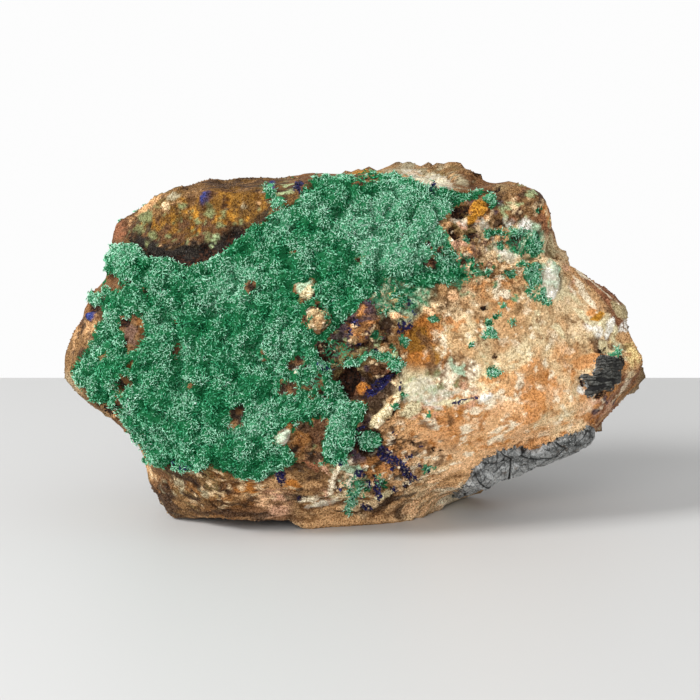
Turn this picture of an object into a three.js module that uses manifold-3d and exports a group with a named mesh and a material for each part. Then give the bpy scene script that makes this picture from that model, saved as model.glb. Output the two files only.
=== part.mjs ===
// Azurite and malachite hand specimen: one broken lump of iron-stained quartz rock. A green malachite crust
// covers the left of its face, a stack of dark sulphide plates stands at the right end, a cleaved sulphide
// seam runs along the lower right edge, and small blue azurite crystals sit between them. It all grew
// together, so the specimen is one solid. Millimetres, +Z up, resting on its flat broken base.
import * as THREE from "three";
import { ImprovedNoise } from "three/addons/math/ImprovedNoise.js";
import { mergeVertices } from "three/addons/utils/BufferGeometryUtils.js";
import Module from "manifold-3d";

// The face is described in a frame of its own, which leans back a little: across, up the face, and out of it.
const FACE_RISE = THREE.MathUtils.degToRad(80);
const HEART = [1, 37, -14];

// The lump's bulk about its heart, before the broken faces cut it.
const HALF_SIZE = [58, 37, 27];
const FRONT_REACH = 30;
const BACK_REACH = 34;
const BACK_HALF_SIZE = [57, 37];
const PILLOW_POWER = 4.5;
const EDGE_SHARPNESS = 64;
const MESH_DETAIL = 20;

// The crust, hollows and ledges fade out between these places, measured out of the face, and the rim's
// notches fade out as a ray from the heart turns this far to the back.
const FRONT_FADE = [-16, -4];
const BACK_FADE = [0.05, 0.6];

// The rim seen square to the face, anticlockwise from the right end: [across, up].
// It runs on below the ground, and the flat base cuts it off.
const RIM = [
  [61.4, 35], [61, 38], [58.4, 40], [57.6, 43.2], [53.4, 47.4], [46.8, 53], [41.2, 56.8], [40.6, 61.4],
  [39.6, 66.4], [36.6, 68.8], [32.6, 70], [27.6, 70.8], [23.4, 73.4], [18.8, 75.4], [13, 75], [6, 73],
  [-3.5, 71.5], [-8, 72.4], [-12.5, 71.2], [-22, 70.3], [-33.5, 69.5], [-38.2, 67.8], [-42.4, 64.2],
  [-47.2, 62.2], [-48.1, 58.8], [-48.4, 54], [-49.9, 49.4], [-52.3, 46.4], [-53.6, 42.2], [-57, 36.8],
  [-57.1, 32.6], [-53.2, 26.8], [-47.8, 22.8], [-44, 20.2], [-42.3, 16.4], [-41.2, 10.8], [-37.8, 5.8],
  [-35, 1], [-30, -6], [-5, -9], [12, -5], [17.4, 3.4], [21.6, 6.2], [29.5, 9.6], [40.8, 14.2],
  [47.8, 17.2], [50.4, 20.6], [54.4, 25.4], [58, 31],
];

// Broken faces that cut the pillow of rock: a point on each [across, up, out], how far it turns to the
// right of the face, and how far it tips up, in degrees.
const BROKEN_FACES = [
  { at: [-22, 40, 9], turn: -5, tip: 3 },
  { at: [-50, 40, 0], turn: -48, tip: 6 },
  { at: [26, 36, 5.5], turn: 21, tip: 4 },
  { at: [12, 52, 8], turn: 8, tip: 17 },
  { at: [-12, 8, 5], turn: -2, tip: -37 },
  { at: [22, 11, 2], turn: 22, tip: -24 },
  { at: [37, 17, -4], turn: 26, tip: -46 },
  { at: [-34, 64, 3.5], turn: -14, tip: 27 },
  { at: [20, 72.4, 1.6], turn: 12, tip: 46 },
  { at: [50, 49, -4], turn: 54, tip: 26 },
  { at: [61.2, 33, -9], turn: 72, tip: -4 },
  { at: [53, 24, -8], turn: 52, tip: -42 },
  { at: [-44, 22, 0], turn: -44, tip: -34 },
  { at: [-46, 58, -4], turn: -64, tip: 34 },
  { at: [-18, 71, -14], turn: -8, tip: 78 },
  { at: [26, 74.5, -16], turn: 26, tip: 72 },
  { at: [-52, 36, -20], turn: -112, tip: 8 },
  { at: [50, 38, -26], turn: 116, tip: 12 },
  { at: [-26, 40, -44], turn: -164, tip: 12 },
  { at: [16, 44, -46], turn: 172, tip: 22 },
  { at: [10, 22, -45], turn: 158, tip: -24 },
  { at: [40, 30, -38], turn: 138, tip: -6 },
  { at: [-42, 24, -34], turn: -140, tip: -20 },
];

// The edge of the malachite crust, anticlockwise from its top left corner.
const CRUST_EDGE = [
  [-48, 57.2], [-50.5, 50], [-53.5, 46], [-51, 42], [-52, 37], [-56, 32], [-52, 26], [-46.5, 22], [-43, 17],
  [-41.4, 13.2], [-38, 12], [-31.4, 11.8], [-28.4, 12.4], [-25, 10.2], [-16.4, 9.6], [-13, 12.6],
  [-8, 13.2], [-0.4, 13.2], [1, 17.8], [3.8, 24.2], [-0.6, 27.4], [-4, 31.6], [-7, 37], [-3.6, 39],
  [3, 45.8], [7.8, 50.2], [15, 48.4], [22, 50], [25, 50.4], [22.4, 53.2], [19.4, 59], [17.8, 61.4],
  [21, 64], [27.8, 68.2], [22.4, 68], [14.2, 69.2], [9.4, 71.6], [-3, 71.6], [-7.6, 70.4], [-10.8, 65.4],
  [-16, 63.8], [-20, 60.4], [-22.2, 58.8], [-27.6, 54.8], [-32.2, 53.2], [-34.4, 54], [-40.6, 55.4],
  [-42.2, 57.4],
];
const CRUST_THICKNESS = 1.5;
const CRUST_EDGE_WIDTH = 1.2;
const CRUST_RIPPLE = { wavelength: 2.2, height: 0.9 };

// Hollows (negative height) and knobs on the face: [across, up, radius, height]. Their sides fall between
// these shares of the radius.
const KNOB_SIDE = [0.35, 1.15];
const HOLLOWS_AND_KNOBS = [
  [-44.2, 40, 4, -1.3], [-45.8, 29.2, 2, -1.2], [-48.4, 49.4, 2.2, -1.1], [-22.6, 22.6, 2.6, -1.2],
  [-8.6, 17.4, 4.4, -1.5], [-12.4, 27.8, 2.2, -1], [-35.2, 36, 1.8, -0.9], [-0.4, 29, 3.4, -2.6],
  [4.6, 30, 3, -1.4], [6.6, 41.6, 1.8, -1.6], [-5, 34, 2.4, -1.6], [2.4, 17.6, 3.4, -1.5],
  [22, 63.4, 2.6, -1.4], [30.6, 54.4, 3, -0.7], [12, 20, 3.6, -1.2], [47.2, 27.8, 2.4, -1.6],
  [2.8, 41.6, 4.6, 1.6], [-6.4, 42.2, 3.2, 1], [9, 42.6, 1.8, 1.1], [16, 43.8, 1.9, 1], [26, 64.2, 2.6, 1.3],
  [23.4, 55.6, 2.6, 1.1], [36, 62, 6, 1.4], [10, 34, 4, 0.9], [17.2, 35.4, 4, 0.8], [-30, 66, 7, 0.9],
  [-46, 62, 2, 1], [5, 12, 4, 0.8], [-22, 7, 4, 0.7], [40, 53, 3.4, 1],
];

// A lens of iron ore lies below the level of the crust at the top left.
const ORE_HOLLOW = { at: [-31, 60.5], half: [15.5, 5.6], slope: 0.12, depth: 2.4, side: [0.6, 1.1] };

// Rough rock: [wavelength, height] of each noise, broken blocks that each sit a little high, low or askew,
// and ledges that step across the right of the face.
const ROCK_NOISE = [[24, 1.6], [10, 0.8]];
const BLOCKS = { spacing: 12, step: 1.5, slope: 0.16, shareInFront: 0.3 };
const LEDGES = { spacing: 10, height: 0.7, riser: 0.28, start: 6, full: 14, fall: [-0.45, 0.8] };
const LEDGE_WANDER = { wavelength: 14, height: 5 };

// Dark sulphide plates at the right end of the face: a stack, each plate stepped from the last.
const PLATE_STACK = { at: [50.2, 28.4], plates: 7, size: [7.6, 1.3, 6], pitch: 1.1, sink: 2.2, stagger: 0.4 };
const PLATE_TURN = { turn: 30, tip: 4, roll: -5 };

// Cleaved sulphide seam along the lower right edge: blocks in a row from one place to another on the face.
const SEAM = { from: [26.6, 10.8], to: [46.2, 20], blocks: 8, height: 5, thickness: 5, sink: 2.1 };
const SEAM_STAGGER = 0.3;
const SEAM_OVERLAP = 1.3;
const SEAM_TURN = { turn: 26, tip: -44, roll: 23 };

// Crystals half sunk in the face, as small prisms: [across, up, length, width, roll in degrees].
const PRISM_THICKNESS = 3.6;
const PRISM_SINK = 1;
const PRISM_TURN = { turn: 12, tip: 8 };
const PRISMS = [
  [7.4, 24.4, 9.6, 2.6, 46], [-4.8, 32.2, 3.6, 2, 8], [11.4, 40.2, 3, 2.2, -24], [8.2, 14.8, 5.4, 2, -42],
  [5.6, 7.6, 5, 1.8, 82], [2, 11.4, 2.6, 2, 10], [-52, 43, 2.6, 2.2, 35], [-29, 66.4, 3.2, 2.2, 62],
  [-13.8, 10.6, 3.4, 2.4, 60],
];

const STONE_COLOUR = new THREE.Color().setRGB(0.3, 0.42, 0.29, THREE.SRGBColorSpace);

const wasm = await Module();
wasm.setup();
const noise = new ImprovedNoise();

// Turns a place in the face's frame into the stone's own x, y, z.
function fromFace(place) {
  return new THREE.Vector3(...place).applyAxisAngle(new THREE.Vector3(1, 0, 0), FACE_RISE);
}

// The way a broken face looks, in the face's frame.
function facing(turn, tip) {
  const turned = THREE.MathUtils.degToRad(turn);
  const tipped = THREE.MathUtils.degToRad(tip);
  const level = Math.cos(tipped);
  return new THREE.Vector3(Math.sin(turned) * level, Math.sin(tipped), Math.cos(turned) * level);
}

// How far the rim lies from the heart in a direction square to the line of sight.
function rimReach(across, up) {
  let reach = Infinity;
  RIM.forEach(([x1, y1], i) => {
    const [x2, y2] = RIM[(i + 1) % RIM.length];
    const ax = x1 - HEART[0];
    const ay = y1 - HEART[1];
    const ex = x2 - x1;
    const ey = y2 - y1;
    const cross = across * ey - up * ex;
    const along = (ax * ey - ay * ex) / cross;
    const part = (ax * up - ay * across) / cross;
    if (along > 0 && part >= -1e-9 && part <= 1 + 1e-9) {
      reach = Math.min(reach, along);
    }
  });
  return reach;
}

// The pillow: the rim's outline, drawn in towards the front and the back, and losing its notches to the back.
function pillowReach(ray) {
  const flat = Math.hypot(ray.x, ray.y);
  const bulge = ray.z > 0 ? FRONT_REACH : BACK_REACH;
  let side = 0;
  if (flat > 1e-6) {
    const across = ray.x / flat;
    const up = ray.y / flat;
    const plainReach = 1 / Math.hypot(across / BACK_HALF_SIZE[0], up / BACK_HALF_SIZE[1]);
    const behind = THREE.MathUtils.smoothstep(-ray.z, ...BACK_FADE);
    side = flat / THREE.MathUtils.lerp(rimReach(across, up), plainReach, behind);
  }
  const through = Math.abs(ray.z) / bulge;
  return (side ** PILLOW_POWER + through ** PILLOW_POWER) ** (-1 / PILLOW_POWER);
}

// The pillow cut by the broken faces, with its edges a little worn.
function rockReach(ray) {
  const heart = new THREE.Vector3(...HEART);
  let sum = pillowReach(ray) ** -EDGE_SHARPNESS;
  for (const face of BROKEN_FACES) {
    const normal = facing(face.turn, face.tip);
    const toward = normal.dot(ray);
    const gap = normal.dot(new THREE.Vector3(...face.at).sub(heart));
    if (toward > 1e-4) {
      sum += (gap / toward) ** -EDGE_SHARPNESS;
    }
  }
  return sum ** (-1 / EDGE_SHARPNESS);
}

// Distance inside a closed outline, negative outside it.
function depthInside(outline, x, y) {
  let inside = false;
  let nearest = Infinity;
  outline.forEach(([x1, y1], i) => {
    const [x2, y2] = outline[(i + 1) % outline.length];
    const ex = x2 - x1;
    const ey = y2 - y1;
    const part = THREE.MathUtils.clamp(((x - x1) * ex + (y - y1) * ey) / (ex * ex + ey * ey), 0, 1);
    nearest = Math.min(nearest, Math.hypot(x - x1 - part * ex, y - y1 - part * ey));
    if (y1 > y !== y2 > y && x < x1 + ((y - y1) / ey) * ex) {
      inside = !inside;
    }
  });
  return inside ? nearest : -nearest;
}

// Height of the crust above the rock, only on the side that faces front.
function crustHeight(place, frontness) {
  const { wavelength, height } = CRUST_RIPPLE;
  const ripple = height * noise.noise(place.x / wavelength, place.y / wavelength, 0);
  const edge = depthInside(CRUST_EDGE, place.x, place.y) + ripple;
  return CRUST_THICKNESS * frontness * THREE.MathUtils.smoothstep(edge, -CRUST_EDGE_WIDTH, CRUST_EDGE_WIDTH);
}

function hollowsAndKnobs(place, frontness) {
  let height = 0;
  for (const [across, up, radius, rise] of HOLLOWS_AND_KNOBS) {
    const away = Math.hypot(place.x - across, place.y - up) / radius;
    height += rise * (1 - THREE.MathUtils.smoothstep(away, ...KNOB_SIDE));
  }
  const { at, half, slope, depth, side } = ORE_HOLLOW;
  const across = place.x - at[0];
  const up = place.y - at[1] - across * slope;
  const away = Math.hypot(across / half[0], up / half[1]);
  height -= depth * (1 - THREE.MathUtils.smoothstep(away, ...side));
  return height * frontness;
}

// Ledges: right of the crust the rock is broken in shallow steps that fall to the lower right.
function ledgeHeight(place) {
  const { spacing, height, riser, start, full, fall } = LEDGES;
  const share = THREE.MathUtils.smoothstep(place.x, start, full);
  const { wavelength } = LEDGE_WANDER;
  const drift = LEDGE_WANDER.height * noise.noise(place.x / wavelength, place.y / wavelength, 0.5);
  const along = (place.x * fall[0] + place.y * fall[1] + drift) / spacing;
  const step = along - Math.floor(along);
  return share * height * (THREE.MathUtils.smoothstep(step, 1 - riser, 1) - step);
}

// A repeatable scatter of numbers from 0 to 1 for a cell of the grid of blocks.
function scatter(i, j, k, kind) {
  const wave = Math.sin(i * 127.1 + j * 311.7 + k * 74.7 + kind * 53.3) * 43758.5453;
  return wave - Math.floor(wave);
}

// Broken blocks: the nearest block's own step and slope.
function blockHeight(place) {
  const cell = place.clone().divideScalar(BLOCKS.spacing);
  const around = [-1, 0, 1];
  let nearest = Infinity;
  let height = 0;
  for (const [di, dj, dk] of around.flatMap((i) => around.flatMap((j) => around.map((k) => [i, j, k])))) {
    const corner = [Math.floor(cell.x) + di, Math.floor(cell.y) + dj, Math.floor(cell.z) + dk];
    const middle = new THREE.Vector3(...corner.map((c, axis) => c + scatter(...corner, axis)));
    const away = cell.clone().sub(middle);
    if (away.length() < nearest) {
      nearest = away.length();
      const slope = new THREE.Vector3(...[3, 4, 5].map((kind) => 2 * scatter(...corner, kind) - 1));
      const rise = BLOCKS.step * (scatter(...corner, 6) - 0.5);
      height = rise + BLOCKS.slope * BLOCKS.spacing * slope.dot(away);
    }
  }
  return height;
}

function rockNoise(place) {
  let height = 0;
  for (const [wavelength, rise] of ROCK_NOISE) {
    height += rise * noise.noise(place.x / wavelength, place.y / wavelength, place.z / wavelength);
  }
  return height;
}

function makeSolid(geometry) {
  geometry.deleteAttribute("normal");
  geometry.deleteAttribute("uv");
  const merged = mergeVertices(geometry, 1e-5);
  const vertProperties = new Float32Array(merged.attributes.position.array);
  const triVerts = new Uint32Array(merged.index.array);
  return new wasm.Manifold(new wasm.Mesh({ numProp: 3, vertProperties, triVerts }));
}

// Where a ray from the heart leaves the rock, with its crust, hollows, knobs and ledges.
function skinAt(ray) {
  const place = new THREE.Vector3(...HEART).addScaledVector(ray, rockReach(ray));
  const frontness = THREE.MathUtils.smoothstep(place.z, ...FRONT_FADE);
  const blocks = blockHeight(place) * THREE.MathUtils.lerp(1, BLOCKS.shareInFront, frontness);
  const rough = rockNoise(place) + blocks + ledgeHeight(place) * frontness;
  const finish = crustHeight(place, frontness) + hollowsAndKnobs(place, frontness);
  return place.addScaledVector(ray, rough + finish);
}

// How far out the skin lies at a place on the face, found by halving.
function skinHeight(across, up) {
  const heart = new THREE.Vector3(...HEART);
  let inner = HEART[2];
  let outer = FRONT_REACH;
  for (let i = 0; i < 20; i++) {
    const middle = (inner + outer) / 2;
    const toward = new THREE.Vector3(across, up, middle).sub(heart);
    const skin = skinAt(toward.clone().normalize()).distanceTo(heart);
    if (toward.length() < skin) {
      inner = middle;
    } else {
      outer = middle;
    }
  }
  return inner;
}

// The rock as one closed skin around the heart.
function makeRock() {
  const geometry = new THREE.IcosahedronGeometry(1, MESH_DETAIL);
  const position = geometry.attributes.position;
  const stretch = new THREE.Vector3(...HALF_SIZE);
  for (let i = 0; i < position.count; i++) {
    const ray = new THREE.Vector3().fromBufferAttribute(position, i).multiply(stretch).normalize();
    position.setXYZ(i, ...fromFace(skinAt(ray).toArray()));
  }
  return makeSolid(geometry);
}

// A block set in the face: its middle, its size, and how far it turns right, tips up and rolls in the face.
function makeBlock(at, size, { turn, tip, roll }) {
  const geometry = new THREE.BoxGeometry(...size);
  geometry.rotateZ(THREE.MathUtils.degToRad(roll));
  geometry.rotateX(THREE.MathUtils.degToRad(-tip));
  geometry.rotateY(THREE.MathUtils.degToRad(turn));
  geometry.translate(...at);
  geometry.rotateX(FACE_RISE);
  return makeSolid(geometry);
}

function makePlates() {
  const { at, plates, size, pitch, sink, stagger } = PLATE_STACK;
  const out = skinHeight(...at) - sink;
  return Array.from({ length: plates }, (_, i) => {
    const width = size[0] - stagger * Math.abs(i - plates / 2);
    const middle = [at[0] + stagger * Math.sin(2 * i), at[1] + i * pitch, out + stagger * Math.cos(2 * i)];
    return makeBlock(middle, [width, size[1], size[2]], PLATE_TURN);
  });
}

function makeSeam() {
  const { from, to, blocks, height, thickness, sink } = SEAM;
  return Array.from({ length: blocks }, (_, i) => {
    const across = THREE.MathUtils.lerp(from[0], to[0], i / (blocks - 1));
    const up = THREE.MathUtils.lerp(from[1], to[1], i / (blocks - 1)) + SEAM_STAGGER * Math.sin(2 * i);
    const out = skinHeight(across, up) - sink + SEAM_STAGGER * Math.cos(2 * i);
    const width = (SEAM_OVERLAP * (to[0] - from[0])) / blocks + SEAM_STAGGER * Math.sin(i);
    return makeBlock([across, up, out], [width, height, thickness], SEAM_TURN);
  });
}

function makePrisms() {
  return PRISMS.map(([across, up, length, width, roll]) => {
    const middle = [across, up, skinHeight(across, up) - PRISM_SINK];
    return makeBlock(middle, [length, width, PRISM_THICKNESS], { ...PRISM_TURN, roll });
  });
}

// Everything fused, cut flat for the base, and moved so that the origin is under the middle of the lump.
function makeSpecimen() {
  const pieces = [makeRock(), ...makePlates(), ...makeSeam(), ...makePrisms()];
  const solid = wasm.Manifold.union(pieces).trimByPlane([0, 0, 1], 0);
  const { vertProperties, triVerts } = solid.getMesh();
  const geometry = new THREE.BufferGeometry();
  geometry.setAttribute("position", new THREE.BufferAttribute(vertProperties, 3));
  geometry.setIndex(new THREE.BufferAttribute(triVerts, 1));
  geometry.computeBoundingBox();
  const { min, max } = geometry.boundingBox;
  geometry.computeVertexNormals();
  const material = new THREE.MeshStandardMaterial({ color: STONE_COLOUR, roughness: 0.8, metalness: 0 });
  const mesh = new THREE.Mesh(geometry, material);
  mesh.name = "azurite_specimen";
  mesh.position.set(-(min.x + max.x) / 2, -(min.y + max.y) / 2, -min.z);
  return mesh;
}

const specimen = new THREE.Group();
specimen.add(makeSpecimen());

export default specimen;
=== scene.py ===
"""The looks of a malachite and azurite hand specimen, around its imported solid.

One broken lump of iron-stained quartz rock: a velvety green malachite crust over the left and middle of its
face, a granular cream and orange face to the right of it, an iron ore hollow at the top left, small blue
azurite crystals, a stack of dark sulphide plates at the right end and a cleaved sulphide seam under it.

Places on the face are in millimetres in the face's own frame: across, up the face, and out of it.
"""
import math

import bmesh
import bpy
import numpy as np
from mathutils import Matrix, Vector
from mathutils.bvhtree import BVHTree


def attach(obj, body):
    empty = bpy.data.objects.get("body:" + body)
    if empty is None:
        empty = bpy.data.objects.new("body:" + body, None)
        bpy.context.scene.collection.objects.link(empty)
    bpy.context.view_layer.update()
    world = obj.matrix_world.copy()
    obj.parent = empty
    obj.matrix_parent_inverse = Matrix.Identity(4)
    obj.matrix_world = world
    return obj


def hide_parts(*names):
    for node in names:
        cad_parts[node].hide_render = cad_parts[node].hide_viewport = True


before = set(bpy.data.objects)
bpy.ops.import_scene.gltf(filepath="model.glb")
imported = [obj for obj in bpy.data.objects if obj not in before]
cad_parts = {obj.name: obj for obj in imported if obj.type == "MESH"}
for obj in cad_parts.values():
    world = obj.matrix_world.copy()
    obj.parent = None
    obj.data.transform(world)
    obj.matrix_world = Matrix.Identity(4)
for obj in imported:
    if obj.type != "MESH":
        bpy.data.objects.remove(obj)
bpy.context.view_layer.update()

MM = 0.001
NODE = "azurite_specimen"
BODY = "root"

# ---------------------------------------------------------------- the face's frame and the camera

# The face leans back a little from upright, and its frame starts here in the part's frame.
FACE_RISE = math.radians(80)
FACE_ORIGIN = np.array([-0.66, -22.80, 0.0])
# A point well inside the lump, and about how far the lump reaches from it.
HEART = np.array([1.0, 37.0, -14.0])
HALF_SIZE = np.array([58.0, 37.0, 27.0])

# How far up the face the camera looks, and how far out it stands and what it is focused on.
CAMERA_UP = 36.0
CAMERA_OUT = 517.0
FOCUS_OUT = -8.0
LENS_MM = 135.0
SENSOR_MM = 36.0


def to_part(face_points):
    """Places in the face's frame, turned into the part's own frame. Both in millimetres."""
    across, up, out = np.asarray(face_points, float).T
    y = up * math.cos(FACE_RISE) - out * math.sin(FACE_RISE)
    z = up * math.sin(FACE_RISE) + out * math.cos(FACE_RISE)
    return np.stack([across, y, z], axis=1) + FACE_ORIGIN


def to_face(part_points):
    """Places in the part's frame, turned into the face's frame. Both in millimetres."""
    x, y, z = (np.asarray(part_points, float) - FACE_ORIGIN).T
    up = y * math.cos(FACE_RISE) + z * math.sin(FACE_RISE)
    out = -y * math.sin(FACE_RISE) + z * math.cos(FACE_RISE)
    return np.stack([x, up, out], axis=1)


def as_seen(face_points):
    """Across and up of each place where its line of sight meets the plane in focus."""
    nearness = (CAMERA_OUT - FOCUS_OUT) / (CAMERA_OUT - face_points[:, 2])
    across = face_points[:, 0] * nearness
    up = CAMERA_UP + (face_points[:, 1] - CAMERA_UP) * nearness
    return np.stack([across, up], axis=1)


def make_camera():
    """The camera that looks square at the face."""
    data = bpy.data.cameras.new("camera")
    data.lens = LENS_MM
    data.sensor_width = SENSOR_MM
    data.clip_start = 0.01
    camera = bpy.data.objects.new("camera", data)
    bpy.context.scene.collection.objects.link(camera)
    camera.location = Vector(to_part([[0, CAMERA_UP, CAMERA_OUT]])[0]) * MM
    camera.rotation_euler = (FACE_RISE, 0, 0)
    bpy.context.scene.camera = camera


# ---------------------------------------------------------------- where each mineral lies on the face

# The edge of the malachite crust: across, up.
CRUST_EDGE = [
    (-48, 57.2), (-50.3, 50), (-50.2, 47), (-49.6, 44.6), (-50, 42), (-52, 37), (-56, 32), (-52, 26),
    (-46.5, 22), (-43, 17), (-41.4, 13.2), (-38, 12), (-31.4, 11.8), (-28.4, 12.4), (-25, 10.2),
    (-16.4, 9.6), (-13, 12.6), (-8, 13.2), (-0.4, 13.2), (1, 17.8), (3.8, 24.2), (-0.6, 27.4), (-4, 31.6),
    (-7, 37), (-3.6, 39), (3, 45.8), (7.8, 50.2), (15, 48.4), (22, 50), (25, 50.4), (22.4, 53.2),
    (19.4, 59), (17.8, 61.4), (21, 64), (27.8, 68.2), (22.4, 68), (14.2, 69.2), (9.4, 71.6), (-3, 71.6),
    (-7.6, 70.4), (-10.8, 65.4), (-16, 63.8), (-20, 60.4), (-22.2, 58.8), (-27.6, 54.8), (-32.2, 53.2),
    (-34.4, 54), (-40.6, 55.4), (-42.2, 57.4),
]

# Each spot of a mineral: across, up, half width, half height, lean in degrees.
CRUST_WINDOWS = [
    (-48.4, 49.4, 1.9, 1.9, 0), (-45.3, 49.6, 1.6, 0.5, 0), (-40.8, 48, 0.7, 0.6, 0),
    (-44, 39.6, 2.7, 3.9, 10), (-34.4, 41.6, 0.6, 0.4, 0), (-19.6, 48.6, 1.6, 1.3, 30),
    (-11.8, 55, 0.6, 0.6, 0), (-35.2, 36, 1.7, 0.8, 40), (-49.6, 35, 0.7, 0.6, 0),
    (-44.6, 32.8, 1.3, 1, 20), (-45.8, 29.2, 1.8, 1.4, 30), (-17.6, 34.8, 0.7, 1.5, 0),
    (-32.4, 28.4, 0.9, 0.5, 20), (-22.6, 22.6, 1.1, 2.3, -18), (-47.2, 24.4, 1.3, 2, 30),
    (-40.8, 19, 0.7, 0.5, 0), (-9, 16.6, 3.4, 4, 0), (-6, 19.8, 2.2, 2.7, 20), (-12.4, 27.8, 1.8, 1.6, 0),
    (-10.6, 33, 1.7, 1.8, 0), (-6.8, 28.8, 2.2, 2.2, 0), (-12.2, 20.6, 0.9, 0.9, 0),
    (-13.6, 18.6, 1.8, 1.2, 30), (16.2, 57.2, 1.1, 1.1, 30), (2.2, 54.2, 0.8, 0.7, 0),
    (11.2, 59.2, 1.6, 0.4, 10), (18.6, 55.8, 0.9, 0.8, 0), (16.6, 53.8, 1.2, 0.6, 0),
    (-8.8, 47.8, 2.1, 2, 0), (-6.4, 42.2, 2.8, 2.9, 0), (3, 70.6, 2.9, 0.7, -4),
]
GREEN_SPECKS = [
    (1.4, 33.6, 2.2, 0.9, 20), (6, 34.6, 2.6, 0.9, 0), (9.4, 33, 1.6, 1.9, 0), (29.2, 42.6, 0.8, 0.9, 20),
    (28.2, 41.4, 0.6, 1.1, 30), (28.4, 39.8, 0.9, 1.2, 0), (27.2, 38.9, 0.8, 0.5, 30),
    (28.6, 32.2, 1.1, 1.1, 0), (29.8, 31.9, 0.7, 0.4, 0), (24, 37.4, 0.7, 0.7, 0), (15.6, 23, 0.5, 0.5, 0),
    (16.6, 42, 1.2, 0.8, 0), (11.4, 37.8, 0.6, 0.6, 0), (15.4, 11.6, 1, 0.8, 0), (6.6, 9, 1, 1, 0),
    (0.8, 5.8, 0.8, 3, -20), (4.2, 17.4, 1.8, 1.5, 0), (28.6, 59.6, 1.7, 0.8, 10), (36.9, 51, 1.3, 2.8, 0),
    (28, 51.6, 1.1, 0.8, 0), (32.4, 51.4, 0.8, 0.7, 0), (34.6, 53, 0.8, 0.7, 0), (30.8, 45.2, 0.8, 0.7, 0),
    (32.6, 41.8, 0.5, 0.5, 0), (28.2, 66.4, 1, 1.2, 0), (10.4, 27.4, 0.6, 0.9, 0), (10, 25, 0.8, 0.7, 0),
    (53.2, 35.6, 0.9, 0.5, 0), (-51.4, 47, 1.5, 1.3, 20), (-16, 68.4, 1, 1.3, 30), (-14.6, 66, 1.2, 1, 0),
    (37.6, 57.4, 1.5, 2.4, 0), (33.4, 60.4, 1.1, 0.6, 20), (30.2, 57, 0.6, 1.2, 0), (5.4, 39, 1.3, 0.9, 10),
    (8.6, 36.6, 0.6, 0.5, 0), (39.4, 46.6, 0.7, 1.4, 30), (38.2, 64.2, 0.7, 0.5, 0),
    (22.2, 55, 0.5, 0.5, 0), (23.2, 58.6, 0.6, 0.5, 0),
]
# Paler places in the crust, and deeper ones where the last number is below 0.
CRUST_TONES = [
    (10, 62, 12, 8, 0, 0.3), (-7, 64.4, 2.5, 2.5, 0, 0.3), (-13.6, 61.6, 3, 3, 0, 0.25),
    (0.4, 61.6, 2.5, 1.5, 0, 0.25), (-9.4, 55.6, 2, 1.5, 0, 0.35), (-17.6, 57, 2.5, 2, 0, 0.2),
    (6, 53, 5, 3, 0, 0.2), (12, 56, 6, 5, 0, 0.15), (18, 63, 4, 3, 0, 0.25), (-23, 49, 5, 4, 0, 0.25),
    (-38.4, 50, 3, 3, 0, 0.3), (-35, 47, 3, 2, 0, 0.15), (-46, 55.6, 3, 1.5, 0, 0.5),
    (-17, 24, 3.5, 2.5, 0, 0.3), (-20, 20, 2, 2, 0, 0.4), (-2, 23, 3, 3.5, 0, 0.35),
    (-37, 23, 3, 2, 0, 0.2), (-51, 33, 2.5, 2, 0, 0.15), (-29, 30, 4, 2, 0, 0.15),
    (-15, 13, 2, 1.2, 0, 0.3), (-22, 56.4, 2.5, 2, 0, -0.45), (-42, 53.6, 1.6, 2, 0, -0.3),
    (-34, 48, 2, 3, 0, -0.3), (-31, 40.6, 3.4, 2.4, 0, -0.55), (-23.6, 41, 2.5, 2, 0, -0.3),
    (-17, 43.6, 1.6, 1.6, 0, -0.4), (-25.6, 37, 3, 2, 0, -0.3), (-47, 45.6, 3, 1.6, 0, -0.35),
    (-48, 32.4, 3, 1.8, 0, -0.55), (-50, 27, 2, 2.5, 0, -0.45), (-41.4, 23, 2, 3, 0, -0.45),
    (-27, 25, 3, 3, 0, -0.55), (-26.4, 15.6, 2.6, 2.2, 0, -0.6), (-19.6, 12.8, 4, 1.6, 0, -0.5),
    (-19, 29, 3, 2, 0, -0.3), (-33, 19, 1.6, 1.6, 0, -0.4), (-3.6, 54.4, 3, 3, 0, -0.25),
    (-9, 59.6, 1.6, 2, 0, -0.35), (3, 69, 3, 3, 0, -0.25), (-5.6, 68, 2.5, 1.6, 0, -0.25),
    (-12, 52, 2, 2, 0, -0.3), (-17, 38, 6, 5, 0, 0.15), (18, 54, 4, 3, 0, 0.05),
    (-51.4, 47, 1.4, 1.2, 0, 0.6),
]
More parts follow.
